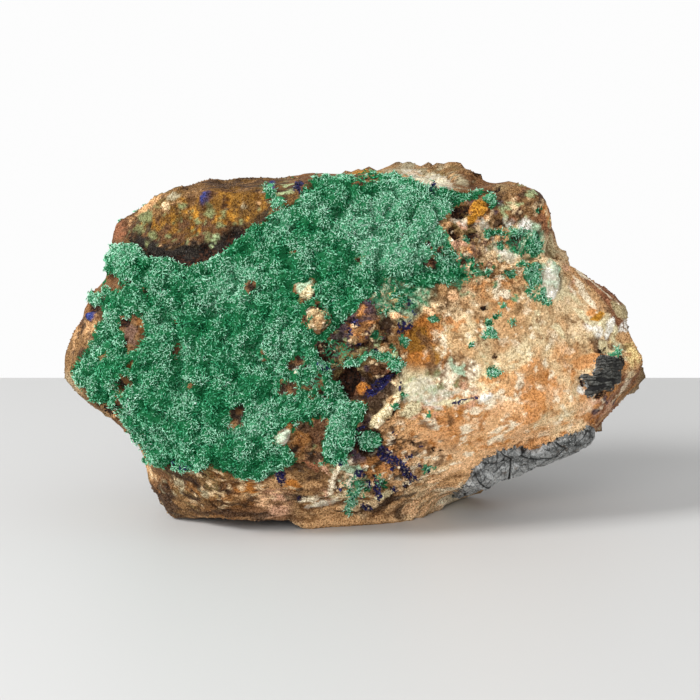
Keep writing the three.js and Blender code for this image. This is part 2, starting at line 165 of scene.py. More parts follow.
# Where green and the rock beneath are mixed grain by grain.
GREEN_MOTTLE = [
    (34.4, 58, 3.4, 2.6, 10), (8, 46.6, 5.6, 3, 0), (23, 51.8, 3.2, 3, 0), (-3.6, 44.4, 2.6, 2.4, 0),
    (-7, 31, 3.2, 3.8, 0), (1.4, 8, 2.2, 3.6, -20), (-2, 35.4, 2.6, 1.8, 0), (37.6, 49, 1.6, 3.4, 10),
]
AZURITE = [
    (-10, 68.8, 0.9, 1.3, 0), (16.8, 69, 0.6, 1, 0), (0.2, 40, 0.6, 0.6, 0), (1.4, 41.6, 0.5, 0.5, 0),
    (11.8, 45.4, 0.7, 0.8, 0), (11.4, 40.4, 1.5, 1.1, -30), (10.4, 39.2, 0.6, 0.6, 0),
    (-5, 32.4, 1.7, 0.9, 0), (5.6, 28.9, 3.1, 1, 30), (10.2, 29, 0.4, 0.8, 0), (22.6, 25.4, 1.8, 0.3, 8),
    (25.4, 26.4, 0.8, 0.4, 30), (8.4, 14.2, 3.4, 1.3, -42), (11, 11.4, 1.4, 0.9, -40),
    (12.4, 10.2, 0.8, 0.7, 0), (11.8, 14.6, 0.7, 0.4, 0), (2, 11.2, 1.2, 0.9, 0), (5.6, 7.6, 0.7, 2.3, 8),
    (3.4, 4, 1, 0.8, 0), (2.8, 5.8, 0.5, 0.5, 0), (-1.8, 13.6, 0.8, 0.7, 0), (-13.8, 10.4, 1.2, 1.6, 20),
    (-33.2, 12.6, 0.9, 0.7, 0), (-10, 5.4, 0.5, 0.4, 0), (14, 16.6, 0.4, 0.3, 0), (9.2, 19.2, 0.5, 0.4, 30),
    (-36, 13.2, 0.5, 0.4, 0), (2.4, 19.6, 1.6, 0.7, 20), (9, 8, 0.5, 0.7, 0), (14, 12.4, 0.45, 0.4, 0),
    (15.8, 10.8, 0.4, 0.35, 0), (-1.8, 8, 0.5, 0.4, 0), (11, 8.6, 0.4, 0.5, 0), (13.6, 9.6, 0.4, 0.35, 0),
    (0.4, 6.4, 0.4, 0.4, 0), (8.4, 12, 0.6, 0.4, 0), (3.6, 9, 0.4, 0.6, 20), (6.8, 16, 0.5, 0.3, -30),
    (1.6, 37.2, 0.7, 0.35, 20), (5, 35.8, 0.4, 0.3, 0), (3.6, 45, 0.4, 0.35, 0), (12.8, 43, 0.35, 0.4, 0),
]
DARK_ORE = [
    (-5.5, 35.1, 2, 2.2, 0), (-0.4, 29.1, 1.7, 3.6, -14), (3, 17.9, 3.4, 2.4, -20), (28.1, 68.6, 2.6, 1, 0),
    (22.3, 63.6, 1.8, 0.9, 30), (26.7, 44.6, 0.8, 0.6, 0), (33.6, 58.2, 1, 1, 0), (5.1, 48, 3.2, 0.45, 38),
    (-41.4, 57, 3.4, 0.7, -22), (-33.6, 54.8, 3, 1.5, -8), (-28.6, 55.2, 3.4, 1.9, 14),
    (-24.4, 57.8, 2.6, 1.3, 36), (-20.4, 60, 2.4, 1, 30), (-15, 62.8, 2.4, 1, 20), (16.2, 57.2, 1, 1, 30),
    (2.2, 54.2, 0.7, 0.6, 0), (11.2, 59.2, 1.6, 0.4, 10), (18.6, 55.8, 1, 0.9, 0),
    (16.6, 53.8, 1.2, 0.7, 0), (21, 59, 0.8, 1.6, 20), (-51.6, 45.2, 1.6, 1.2, 0),
    (-46.2, 41.6, 1.4, 1, 20), (-46.4, 37.6, 1.2, 1.4, 0), (-49, 23.4, 1, 1.2, 0), (8, 30.6, 2.4, 0.7, 28),
    (-34.8, 13.2, 1.2, 0.8, 0), (16.6, 16.2, 0.4, 0.4, 0), (12.6, 17.2, 0.4, 0.4, 0),
    (18, 15.6, 0.4, 0.3, 0), (29.4, 34.6, 0.4, 0.3, 0), (51.6, 17.4, 0.6, 1.6, 0),
    (8.7, 22.9, 2.7, 0.35, 46), (-2.2, 15.4, 1.2, 0.9, 0), (11.6, 8.2, 0.6, 0.8, 0),
    (1.4, 36.6, 2.4, 0.6, 20), (24.4, 59.2, 1.6, 0.8, 0), (-9.4, 40.6, 0.5, 1.8, 20),
    (46.4, 29.4, 0.3, 1.2, 10), (50.4, 36, 1.6, 0.3, -10), (50.4, 26.8, 1.8, 0.3, 10),
    (23.4, 53.8, 1, 0.6, 0), (-6, 44.8, 1.6, 0.6, -10), (-4, 46.6, 2.2, 0.7, -8),
]
WHITE_QUARTZ = [
    (40.2, 50, 1.8, 3.9, -8), (17.2, 69.7, 3.4, 1.8, 0), (12, 71.4, 2.2, 1.4, -20),
    (-10.8, 31.8, 1, 0.8, 0), (-20.4, 17.6, 1.4, 0.6, 10), (-13.4, 18.4, 1.5, 1.3, 30),
    (14.2, 27.8, 3.6, 2.8, 20), (18.6, 26.6, 3.6, 1.1, 12), (27.2, 26.6, 1.3, 1.2, 0),
    (52.2, 40.4, 0.8, 2.4, -20), (46.4, 28, 0.5, 1, 0), (27, 61.4, 1.4, 1, -30), (31.8, 61.4, 0.6, 1.4, 20),
    (31.4, 55.4, 2.4, 1, -20), (-5.6, 4.6, 3.6, 0.8, 20), (0.6, 8.4, 1.6, 0.6, 60), (22, 62, 1.4, 0.8, -30),
]

# The colours of the stones, as plain sRGB.
STONES = {
    "cream": (244, 228, 196), "sand": (226, 196, 152), "tan": (196, 152, 104), "apricot": (222, 172, 118),
    "peach": (236, 190, 142), "orange": (176, 110, 42), "rust": (130, 84, 36), "ochre": (178, 122, 30),
    "brown": (108, 72, 40), "umber": (60, 38, 22), "olive": (112, 94, 54), "grey": (156, 144, 114),
    "pink": (204, 156, 124), "red brown": (136, 86, 56), "plum": (64, 46, 60), "soot": (18, 9, 5),
    "ore": (92, 60, 8), "honey": (140, 96, 24), "mint": (176, 206, 172), "white": (246, 242, 230),
    "straw": (214, 188, 128), "chestnut": (86, 54, 28), "bark": (128, 94, 56),
    "pale green": (168, 182, 146), "caramel": (202, 138, 78), "verdigris": (72, 146, 104),
    "bone": (218, 204, 162), "celadon": (164, 180, 130), "azure": (40, 54, 118), "leaf": (40, 112, 72),
    "dusk": (108, 78, 62), "biscuit": (206, 180, 134), "shell": (184, 166, 124), "lichen": (118, 122, 78),
}

# Ground colours of the rock itself on the face: across, up, reach, stone.
GROUND = [
    (15, 38, 3.4, "orange"), (14, 34.8, 2.8, "orange"), (22.6, 38, 3.6, "biscuit"), (34, 40, 5, "tan"),
    (42, 38, 5, "tan"), (48.6, 42.6, 3.5, "sand"), (22, 43.6, 2.6, "sand"), (30.6, 47.6, 2.8, "caramel"),
    (37, 43.6, 4, "biscuit"), (44, 46, 3.4, "bone"), (21, 31, 3.4, "dusk"), (14.4, 29, 3.4, "bone"),
    (30, 28, 5, "apricot"), (38, 31, 5, "caramel"), (45, 29, 3.4, "sand"), (19, 21, 5, "caramel"),
    (27, 20, 5, "apricot"), (35, 21, 4, "caramel"), (42, 20, 3.4, "sand"), (50, 24, 2.2, "red brown"),
    (19, 12.4, 4, "sand"), (12, 8, 4, "sand"), (24, 14, 3.4, "apricot"), (20, 7.6, 2.6, "cream"),
    (35.5, 65.4, 3.4, "bark"), (39, 61.4, 2.4, "red brown"), (31, 64.4, 2.6, "bark"),
    (24, 61, 2.6, "olive"), (22.6, 56, 2.8, "tan"), (30, 56, 3, "tan"), (34.6, 50, 3, "tan"),
    (40, 56, 3, "sand"), (12, 72, 3, "grey"), (22, 69.4, 3, "brown"), (18, 73.6, 3, "olive"),
    (26, 71, 2, "brown"), (-30, 64, 7, "ore"), (-40, 61.4, 4, "ore"), (-46, 60.8, 3, "brown"),
    (-37, 67.6, 3, "olive"), (-18, 68, 4, "ore"), (-22, 63.4, 3.6, "ore"), (-8, 71, 3, "brown"),
    (-30, 68.6, 3, "bark"), (-30, 57.4, 2, "chestnut"), (-52, 37, 3, "bark"), (-55.4, 34.4, 2, "bark"),
    (-50, 44, 3, "brown"), (-44, 40, 3, "brown"), (-46, 27, 4, "brown"), (-40.5, 12, 2.4, "tan"),
    (-38, 9.6, 2.6, "brown"), (-34, 5.4, 3, "bark"), (-30, 9, 3.4, "olive"), (-26, 5, 3, "rust"),
    (-20, 7.6, 3.6, "rust"), (-15.6, 5.4, 2.6, "pink"), (-10, 8.4, 3.6, "bark"), (-6, 5, 3, "tan"),
    (-1, 6, 2.4, "sand"), (8, 6, 3.4, "tan"), (-4, 2, 3, "grey"), (14.6, 6, 3, "sand"), (0, 42, 3, "bark"),
    (8, 38, 3, "bark"), (-1, 35.6, 3.6, "olive"), (4, 28, 3, "umber"), (0, 29, 2.4, "umber"),
    (10, 18, 3.6, "apricot"), (4, 18, 3, "plum"), (9, 13, 3.4, "caramel"), (-9, 17.6, 4, "bark"),
    (-9, 30, 3.4, "brown"), (-5, 35, 2, "plum"), (10, 47, 4.4, "pale green"), (2.8, 71.4, 2, "ochre"),
    (56, 37, 2.2, "straw"), (55.6, 31, 2, "red brown"), (47, 51, 3, "tan"), (52, 44, 2.6, "brown"),
    (20, 48, 2.4, "bark"), (-22.6, 22.6, 2, "olive"), (49, 52, 3, "tan"), (52, 49, 2, "red brown"),
    (55, 42, 2, "red brown"), (56, 40, 2, "bark"),
]

# Spots of one stone, with a clear edge: across, up, half width, half height, lean, how far out, stone.
STONE_SPOTS = [
    (2.6, 41.6, 2.5, 4.2, -12, 0.9, "dusk"), (1.8, 39, 1.9, 1.7, 20, 0.2, "tan"),
    (2.4, 43.6, 1, 1.1, 0, 0.2, "rust"), (5.2, 41.2, 1, 1.4, 20, 0.6, "bark"),
    (9.2, 46.8, 1.4, 1.1, 0, 0.4, "straw"), (9.1, 42.7, 1.2, 0.8, 0, 0.7, "peach"),
    (11.4, 42.6, 0.5, 0.4, 0, 0.4, "caramel"), (15.8, 43.6, 1.4, 0.8, -30, 0.6, "peach"),
    (17.4, 45, 1.2, 0.6, -40, 0.5, "sand"), (18.8, 47.8, 0.8, 1.3, 10, 0.4, "tan"),
    (20.8, 46.9, 1.1, 1.2, 30, 0.4, "peach"), (-1, 35.4, 3.2, 1.7, 8, 0.2, "olive"),
    (2.4, 28.6, 1.35, 1.1, 30, 0.7, "orange"), (2.1, 25, 1.3, 0.7, 25, 0.7, "caramel"),
    (6.2, 31.9, 2.1, 1.4, 0, 0.1, "chestnut"), (5.3, 32.9, 0.4, 0.4, 0, 0.3, "sand"),
    (7.6, 31.8, 0.9, 0.7, 0, 0.2, "red brown"), (7.3, 23.8, 4.9, 1.5, 50, 0.9, "shell"),
    (9.6, 26.2, 1, 0.5, 60, 0.8, "pink"), (14.4, 28.2, 3.6, 2.4, 22, 0.3, "bone"),
    (12.4, 23.8, 2.6, 1.5, 30, 0.2, "bone"), (20.6, 25.6, 4.4, 0.7, 8, 0.1, "bone"),
    (20.6, 26.8, 0.6, 0.6, 0, 0.3, "orange"), (27.2, 26.5, 1.1, 0.9, 20, 0.6, "white"),
    (28.2, 27, 0.6, 0.7, 0, 0.4, "white"), (25.8, 64.4, 1.7, 1.9, -20, 0.7, "ochre"),
    (24.4, 62.4, 1.7, 0.7, 20, 0.5, "ochre"), (21, 62.6, 1.2, 0.6, 10, 0.4, "bark"),
    (19.6, 61.2, 1.2, 0.8, 30, 0.4, "tan"), (22.6, 61, 1.5, 0.6, -35, 0.5, "pink"),
    (22.4, 57.6, 1.3, 0.7, -30, 0.5, "pink"), (20.9, 57.3, 1.1, 0.6, -45, 0.5, "pink"),
    (24.4, 55, 0.8, 1.6, 20, 0.5, "caramel"), (21.6, 54.6, 0.7, 1.2, 0, 0.5, "pink"),
    (23.8, 53, 0.8, 0.7, 0, 0.4, "peach"), (28.2, 55, 2.2, 0.5, 35, 0.2, "sand"),
    (-8.8, 47.8, 1.9, 1.7, 20, 0.4, "bone"), (-6.4, 42.2, 2.6, 2.4, 0, 0.3, "biscuit"),
    (-3.4, 44.2, 1.8, 0.8, 20, 0.2, "mint"), (-6.8, 49.8, 1.1, 0.7, 20, -0.3, "bark"),
    (-10.8, 31.8, 0.6, 0.5, 0, 0.3, "cream"), (-13.6, 18.6, 1.7, 0.9, 30, 0.3, "mint"),
    (-20.4, 17.6, 1.3, 0.5, 25, 0.2, "mint"), (-9.4, 27, 0.35, 0.35, 0, 0.2, "ochre"),
    (-6.2, 19.6, 2, 2.5, 10, -0.2, "chestnut"), (-12.2, 20.6, 1, 0.8, 0, 0.2, "rust"),
    (-48.4, 49.4, 2, 1.9, 0, -0.2, "brown"), (-44.4, 38.8, 1.7, 2.4, 15, 0.1, "dusk"),
    (-42, 40.6, 0.7, 1.8, 0, 0.1, "rust"), (-44.4, 32.8, 1.2, 0.8, 20, 0, "rust"),
    (-51.6, 35, 0.7, 0.5, 0, 0, "tan"), (-49.6, 35.2, 0.5, 0.5, 0, 0, "rust"),
    (40.6, 49.6, 1.6, 3.6, -8, 0.5, "white"), (41.6, 52.4, 1.2, 1.6, 0, 0.3, "mint"),
    (42.2, 49.6, 0.6, 1.6, 20, 0.3, "grey"), (16.6, 69.9, 3.2, 1.3, -4, 0.3, "bone"),
    (12, 71.6, 2.2, 1.2, -20, 0.2, "grey"), (21.8, 71, 2.2, 0.9, -20, 0.2, "grey"),
    (52.2, 40.4, 0.6, 2.3, -20, 0.3, "white"), (53.4, 39.8, 0.5, 1.5, 20, 0.2, "bone"),
    (50.6, 41.4, 0.5, 1.4, 30, 0.2, "bone"), (49.7, 42.8, 1.9, 0.7, 30, 0, "ochre"),
    (48.6, 43.8, 1.4, 0.6, 20, 0, "caramel"), (54, 44, 0.8, 2.4, 35, 0, "shell"),
    (46.6, 28, 0.5, 0.8, 0, 0.2, "white"), (57.4, 36, 1.5, 3.6, -8, 0.2, "straw"),
    (55.6, 38.6, 2, 1.2, 0, 0.1, "tan"), (-40, 65.4, 3.4, 0.7, 40, 0.3, "tan"),
    (-44.4, 62, 1.4, 0.7, 50, 0.3, "tan"), (-37.4, 65, 0.9, 0.7, 0, 0.2, "sand"),
    (-40, 57.3, 3.8, 1.1, -22, -0.3, "soot"), (-33.6, 55.6, 3.8, 1.6, -6, -0.3, "soot"),
    (-28.2, 56, 3.6, 1.9, 12, -0.3, "soot"), (-24, 58.4, 2.8, 1.1, 36, -0.2, "soot"),
    (-40.8, 62.8, 1.4, 1.1, 10, 0.3, "lichen"), (-46.2, 60.2, 1.5, 2, -20, 0.3, "red brown"),
    (-35.4, 66.8, 1.6, 0.7, 20, 0.2, "grey"), (-33.8, 64.8, 0.94, 0.56, 10, 0.1, "lichen"),
    (-37.2, 59.5, 0.51, 0.48, 0, 0.1, "lichen"), (-40.4, 59.6, 0.51, 0.48, 0, 0.1, "lichen"),
    (-31, 62, 0.68, 0.64, 0, 0.1, "lichen"), (-25.2, 63.8, 0.51, 0.48, 0, 0.1, "lichen"),
    (-28.4, 63.6, 1.1, 0.72, 0, 0.1, "lichen"), (-21.6, 64.8, 0.5, 0.5, 0, 0.3, "grey"),
    (-21.8, 61.8, 0.51, 0.48, 0, 0.1, "lichen"), (-23.4, 61.6, 0.34, 0.32, 0, 0.1, "lichen"),
    (-41.4, 58.4, 0.34, 0.32, 0, 0.1, "lichen"), (-25.8, 61, 0.77, 0.48, 0, 0.1, "lichen"),
    (-18.6, 65.8, 0.4, 0.4, 0, 0.2, "tan"), (-27.2, 58.6, 0.8, 0.6, 30, 0.3, "celadon"),
    (-28.2, 57.2, 0.5, 0.4, 0, 0.3, "celadon"), (-29, 66.8, 1.6, 1.1, 58, 0.5, "azure"),
    (-15.8, 69.8, 0.6, 0.8, 0, 0.2, "azure"), (-52.3, 43, 1.1, 1.2, 20, 0.5, "azure"),
    (-3.2, 1.2, 6.4, 1.5, 3, 0, "tan"), (2.4, 4.4, 4.5, 1, 12, 0.1, "sand"),
    (6.6, 6.6, 2.4, 0.7, 20, 0.15, "bone"), (-4.5, 3.2, 3, 0.6, 8, 0.1, "tan"),
    (7.3, 24, 4.6, 0.9, 52, 0.2, "bone"), (-5.6, 4.8, 2.6, 0.5, 25, 0.2, "cream"),
    (-2.4, 6.6, 0.4, 2.2, -25, 0.2, "cream"), (-4.4, 6.2, 0.5, 1.8, 20, 0.2, "pink"),
    (0.2, 8.4, 0.4, 1.6, 30, 0.2, "cream"), (-15.6, 5.2, 2.6, 1.2, 5, 0.1, "pink"),
    (-20.4, 7.6, 3.2, 0.9, 8, 0.1, "orange"), (-11.4, 8.8, 1.8, 1.3, 10, 0.2, "orange"),
    (-3.2, 9.8, 0.6, 3.4, -16, 0.4, "cream"), (-1.9, 8.4, 0.5, 2.6, -26, 0.3, "sand"),
    (-7.4, 5.8, 3.2, 0.6, 16, 0.3, "cream"), (-5.2, 12.2, 0.5, 2, 34, 0.3, "pink"),
    (-7.6, 12.6, 0.5, 1.8, 50, 0.3, "red brown"), (20.6, 9.6, 1.1, 3.4, -60, 0.1, "tan"),
]

# Flecks of another stone in the ground: across, up, half width, half height, lean, size, share, stone.
FLECKS = [
    (36, 30, 21, 12, -8, 4.2, 0.28, "tan"), (36, 26, 21, 10, -8, 3, 0.2, "apricot"),
    (37, 39, 17, 9, -20, 2.6, 0.3, "bone"), (36, 33, 21, 15, -8, 0.8, 0.2, "cream"),
    (34, 26, 22, 11, -8, 0.9, 0.14, "orange"), (36, 34, 20, 13, 0, 0.6, 0.06, "bark"),
    (40, 38, 16, 9, -20, 1.7, 0.3, "tan"), (44, 31, 10, 8, 20, 2.2, 0.2, "caramel"),
    (30, 46, 9, 5, 0, 0.7, 0.15, "bark"), (31, 46, 9, 5, 0, 1.4, 0.25, "tan"),
    (24, 18, 13, 8, 20, 2.6, 0.4, "peach"), (22, 18, 12, 8, 20, 1.3, 0.14, "orange"),
    (34, 22, 12, 5, 20, 1.6, 0.4, "peach"), (16, 16, 9, 8, 20, 0.6, 0.12, "cream"),
    (14, 18, 8, 7, 10, 0.9, 0.16, "brown"), (23, 38, 6, 5, 20, 1.6, 0.3, "tan"),
    (22, 41, 6, 5, 0, 0.6, 0.12, "bark"), (22, 40, 6, 5, 0, 0.8, 0.2, "caramel"),
    (21.6, 31, 4.4, 3.4, 20, 0.8, 0.4, "cream"), (21, 31.6, 4.6, 3, 20, 0.6, 0.3, "brown"),
    (24, 33, 4, 3, 0, 0.9, 0.2, "mint"), (14.4, 28.4, 3.6, 2.6, 20, 0.8, 0.25, "celadon"),
    (16, 28, 6, 4, 10, 0.7, 0.25, "lichen"), (17, 26.6, 4, 2, 10, 0.8, 0.25, "white"),
    (24, 27, 4, 3, 10, 0.9, 0.4, "pink"), (14, 24, 4, 3, 20, 0.9, 0.25, "pink"),
    (10, 47, 7, 3.8, 5, 0.9, 0.3, "mint"), (9, 47, 7.6, 4, 5, 0.8, 0.3, "verdigris"),
    (9, 46.4, 7.6, 4, 5, 0.7, 0.16, "umber"), (5, 38.6, 6, 4, 20, 0.9, 0.3, "rust"),
    (4, 38, 7, 5, 20, 0.7, 0.2, "umber"), (6, 37.4, 6, 4, 20, 0.8, 0.2, "celadon"),
    (15, 37, 3.6, 5, 10, 2.4, 0.7, "orange"), (15, 36, 3.4, 5, 10, 1.4, 0.4, "honey"),
    (15.6, 35, 3.4, 5, 0, 0.9, 0.25, "brown"), (-1, 36, 4, 3, 10, 0.8, 0.3, "celadon"),
    (-1, 36, 4, 3, 10, 0.7, 0.25, "soot"), (5.6, 31.6, 3, 1.8, 0, 0.7, 0.3, "rust"),
    (5.6, 31.6, 3, 1.8, 0, 0.6, 0.15, "sand"), (-0.6, 29, 2, 3.6, -10, 0.9, 0.5, "soot"),
    (-0.4, 29.6, 2, 3.4, -10, 0.7, 0.2, "red brown"), (5, 29, 4, 1.6, 30, 0.7, 0.4, "soot"),
    (3, 18, 4, 2.8, -15, 0.9, 0.5, "soot"), (3, 18, 4, 2.8, -15, 0.7, 0.2, "dusk"),
    (-9, 30, 4.4, 4.4, 0, 0.9, 0.4, "bark"), (2, 39, 6, 6, 0, 1, 0.3, "plum"),
    (-9, 30, 4.4, 4.4, 0, 0.7, 0.25, "umber"), (-9, 18, 5, 5, 0, 1.2, 0.3, "rust"),
    (-9, 17, 5, 5, 0, 0.8, 0.35, "umber"), (-10, 19, 4, 4, 0, 0.7, 0.1, "lichen"),
    (8, 12, 8, 7, 0, 0.9, 0.25, "rust"), (6, 11, 7, 7, 0, 0.8, 0.22, "cream"),
    (8, 14, 8, 6, 0, 0.7, 0.16, "umber"), (0, 10, 4, 4, 0, 0.9, 0.3, "mint"),
    (5, 17, 7, 5, 0, 0.8, 0.2, "umber"), (36, 63, 6, 7, 0, 1.4, 0.2, "caramel"),
    (37, 62, 5, 7, 0, 1.1, 0.4, "red brown"), (35, 64, 7, 7, 0, 0.9, 0.2, "umber"),
    (35, 64, 6, 6, 0, 0.9, 0.15, "celadon"), (36, 61, 6, 6, 0, 0.7, 0.1, "sand"),
    (27, 66, 4, 3, 0, 0.9, 0.3, "plum"), (34, 57.6, 5.4, 4.2, 10, 1.1, 0.4, "mint"),
    (35, 57.6, 5, 4, 10, 0.9, 0.3, "verdigris"), (34, 57.6, 5.6, 4.2, 10, 0.7, 0.25, "umber"),
    (33, 58, 5, 4, 10, 0.7, 0.15, "white"), (28, 60.4, 4, 3, 0, 0.8, 0.3, "umber"),
    (28, 61, 4, 3, 0, 0.7, 0.2, "sand"), (25, 56, 5, 5, 0, 0.9, 0.3, "dusk"),
    (25, 55.6, 5, 5, 0, 0.8, 0.2, "sand"), (30, 53, 6, 3, 0, 0.8, 0.35, "bark"),
    (30, 53, 6, 3, 0, 0.8, 0.2, "cream"), (32, 47.6, 5, 3, 0, 0.9, 0.2, "cream"),
    (32, 47.6, 5, 3, 0, 0.9, 0.15, "verdigris"), (40, 55, 2.6, 4, 0, 0.9, 0.35, "bone"),
    (44, 50, 3, 4, 30, 0.9, 0.3, "pink"), (23, 51.4, 4, 4, 0, 0.8, 0.3, "verdigris"),
    (23, 51.4, 4, 4, 0, 0.7, 0.25, "umber"), (23, 51, 4, 3.6, 0, 0.7, 0.2, "tan"),
    (44.6, 43, 5, 4, 0, 1.4, 0.3, "sand"), (46, 39.4, 4, 4, 0, 0.8, 0.25, "bark"),
    (51.6, 37.4, 4, 3, 0, 0.8, 0.35, "chestnut"), (52, 37, 4, 3, 0, 0.8, 0.2, "straw"),
    (55.6, 37, 2.6, 4, 0, 0.8, 0.18, "brown"), (55, 31.6, 2, 3, 0, 0.9, 0.4, "tan"),
    (50.4, 24.6, 4, 2.6, 30, 1, 0.4, "red brown"), (50.4, 24.6, 4, 2.8, 30, 0.8, 0.3, "pink"),
    (50.4, 24.6, 4, 2.8, 30, 0.7, 0.15, "plum"), (45, 24, 4, 4, 20, 1.6, 0.3, "peach"),
    (-29, 64, 13, 4, 10, 1.8, 0.3, "honey"), (-30, 62, 16, 6, 10, 1.2, 0.2, "honey"),
    (-30, 62, 17, 7, 10, 0.8, 0.25, "chestnut"), (-27, 63, 9, 3.4, 12, 0.7, 0.12, "ochre"),
    (-36, 66, 7, 3, 20, 0.9, 0.35, "bark"), (-37, 66.2, 7, 2.4, 25, 0.8, 0.2, "tan"),
    (-22, 69.4, 14, 1.6, 3, 0.9, 0.3, "bark"), (-22, 69.4, 14, 1.6, 3, 0.8, 0.35, "umber"),
    (-31, 59, 11, 2.4, 6, 0.8, 0.45, "chestnut"), (-30, 61, 15, 5, 8, 0.6, 0.06, "lichen"),
    (-42, 62, 4, 3, 30, 0.8, 0.25, "lichen"), (-42, 62, 4, 3, 30, 0.7, 0.2, "umber"),
    (-40.6, 57.6, 5, 1.3, -22, 0.9, 0.8, "soot"), (-33, 56, 7, 2.4, -3, 0.9, 0.85, "soot"),
    (-24.6, 58.2, 5, 1.8, 36, 0.9, 0.85, "soot"), (-19, 62, 4.4, 1.5, 40, 0.9, 0.6, "soot"),
    (-33, 56.4, 7, 2.4, -3, 0.6, 0.12, "tan"), (-32, 57.6, 9, 3, 0, 0.7, 0.08, "lichen"),
    (-14, 67.6, 3, 3, 0, 0.8, 0.4, "umber"), (-14, 67.6, 3, 3, 0, 0.8, 0.2, "celadon"),
    (-46, 59.6, 3, 3, 0, 0.9, 0.3, "chestnut"), (-53, 38, 3, 7, -12, 1.2, 0.35, "tan"),
    (-52, 39, 3, 7, -12, 0.9, 0.3, "umber"), (-47, 24, 3, 3, 0, 0.9, 0.4, "tan"),
    (-51, 45.4, 2, 1.4, 0, 0.8, 0.4, "plum"), (-40.6, 14, 1.6, 5, 20, 1, 0.4, "sand"),
    (12, 71.6, 6, 2.4, -4, 1, 0.3, "bark"), (18, 72.6, 8, 2.4, -12, 1, 0.35, "bark"),
    (18, 71.6, 8, 2.4, -12, 0.8, 0.2, "grey"), (20, 67.6, 6, 1.6, -6, 0.9, 0.35, "bark"),
]
# Drawn-out flecks, as in layered rock.
STREAKS = [
    (-12, 6, 28, 5, -3, 1.4, 0.35, "brown"), (-12, 6, 28, 5, -3, 1, 0.3, "umber"),
    (-10, 6, 26, 5, -3, 0.9, 0.14, "tan"), (-16, 6, 24, 5, -3, 1.2, 0.16, "rust"),
    (-34, 7, 8, 5, -30, 1.1, 0.2, "olive"), (-34, 7, 8, 5, -30, 1, 0.2, "umber"),
    (17, 8, 8, 4, 35, 1.1, 0.3, "peach"), (17, 8, 8, 4, 35, 0.9, 0.12, "tan"),
    (-2, 6, 6, 3, 10, 0.8, 0.25, "bone"), (50, 47, 9, 3, -52, 1.2, 0.35, "red brown"),
    (50, 47, 9, 3, -52, 1, 0.3, "tan"), (50, 46, 9, 3.4, -52, 0.9, 0.2, "cream"),
    (52, 41, 3, 5, 60, 0.9, 0.3, "white"), (40.6, 50, 2.4, 4.2, 70, 0.8, 0.3, "grey"),
]

# Softer bands across the bare face.
BANDS = [
    (40, 30, 18, 9, 17, 1.7, 0.18, "bone"), (38, 26, 20, 9, 17, 1.3, 0.14, "caramel"),
    (46, 40, 12, 6, -38, 1.3, 0.22, "bone"), (26, 22, 10, 6, 24, 1.2, 0.14, "cream"),
    (31, 54, 8, 3, 30, 1, 0.25, "sand"),
]

# Flecks on top of the spots.
SPOT_FLECKS = [
    (40.6, 50, 2.4, 4.2, -8, 1, 0.3, "grey"), (40.4, 50.6, 2.2, 4.2, -8, 0.8, 0.25, "mint"),
    (38.6, 50, 1.4, 3, 0, 0.8, 0.3, "leaf"), (7.3, 23.8, 5, 1.8, 50, 0.9, 0.3, "tan"),
    (7.3, 23.8, 5, 1.8, 50, 0.8, 0.15, "cream"), (-8.8, 47.8, 2.4, 2.2, 0, 0.8, 0.3, "mint"),
    (-6.4, 42.2, 2.8, 2.6, 0, 0.7, 0.25, "tan"), (-6.4, 42.2, 2.8, 2.6, 0, 0.6, 0.2, "cream"),
    (2.6, 41.6, 3, 4.4, -12, 0.9, 0.35, "rust"), (2.6, 41.6, 3, 4.4, -12, 0.8, 0.25, "caramel"),
    (2.6, 41, 3.4, 4.4, -12, 0.7, 0.15, "plum"), (3, 37, 9, 12, 0, 0.7, 0.16, "umber"),
    (2, 38, 7, 9, 0, 0.8, 0.14, "plum"), (3, 36, 9, 13, 0, 0.7, 0.08, "sand"),
    (22.4, 57, 4, 5, 0, 0.8, 0.25, "dusk"), (22.4, 57, 4, 5, 0, 0.7, 0.15, "cream"),
    (-22, 8, 14, 4, 0, 0.9, 0.2, "bark"), (-26, 8, 12, 5, 0, 0.8, 0.18, "umber"),
    (-24, 8, 14, 4, 0, 0.7, 0.12, "sand"), (-16, 5.6, 4, 2, 0, 0.8, 0.3, "peach"),
    (-16, 5.6, 4, 2, 0, 0.7, 0.2, "brown"), (-32, 8, 6, 5, 0, 1.2, 0.15, "grey"),
    (-5, 9, 4, 4, 0, 0.7, 0.2, "brown"), (-10, 10, 4, 3, 0, 0.8, 0.25, "umber"),
    (16, 70, 6, 3, 0, 1, 0.3, "olive"), (16, 70, 6, 3, 0, 0.8, 0.2, "tan"),
    (25.6, 63.8, 2.4, 2.4, 0, 0.9, 0.3, "orange"), (-44.4, 38.8, 2.4, 3, 0, 0.8, 0.3, "bark"),
    (-46, 61, 3, 3, 0, 0.9, 0.3, "chestnut"), (-29, 66.8, 1.6, 1.2, 58, 0.6, 0.3, "plum"),
    (14.4, 28, 4, 3, 20, 0.9, 0.2, "celadon"), (14.4, 28, 4, 3, 20, 0.7, 0.12, "tan"),
    (57, 36, 2.4, 4.4, 0, 0.8, 0.25, "tan"),
]

BACK_STONES = ["tan", "rust", "brown", "grey", "caramel", "olive", "sand", "bark", "red brown"]

# The middle of the ringed cream crystal, and how far out its dark rings are.
ROSETTE = (-6.4, 42.2)
ROSETTE_RINGS = (1.0, 1.9)

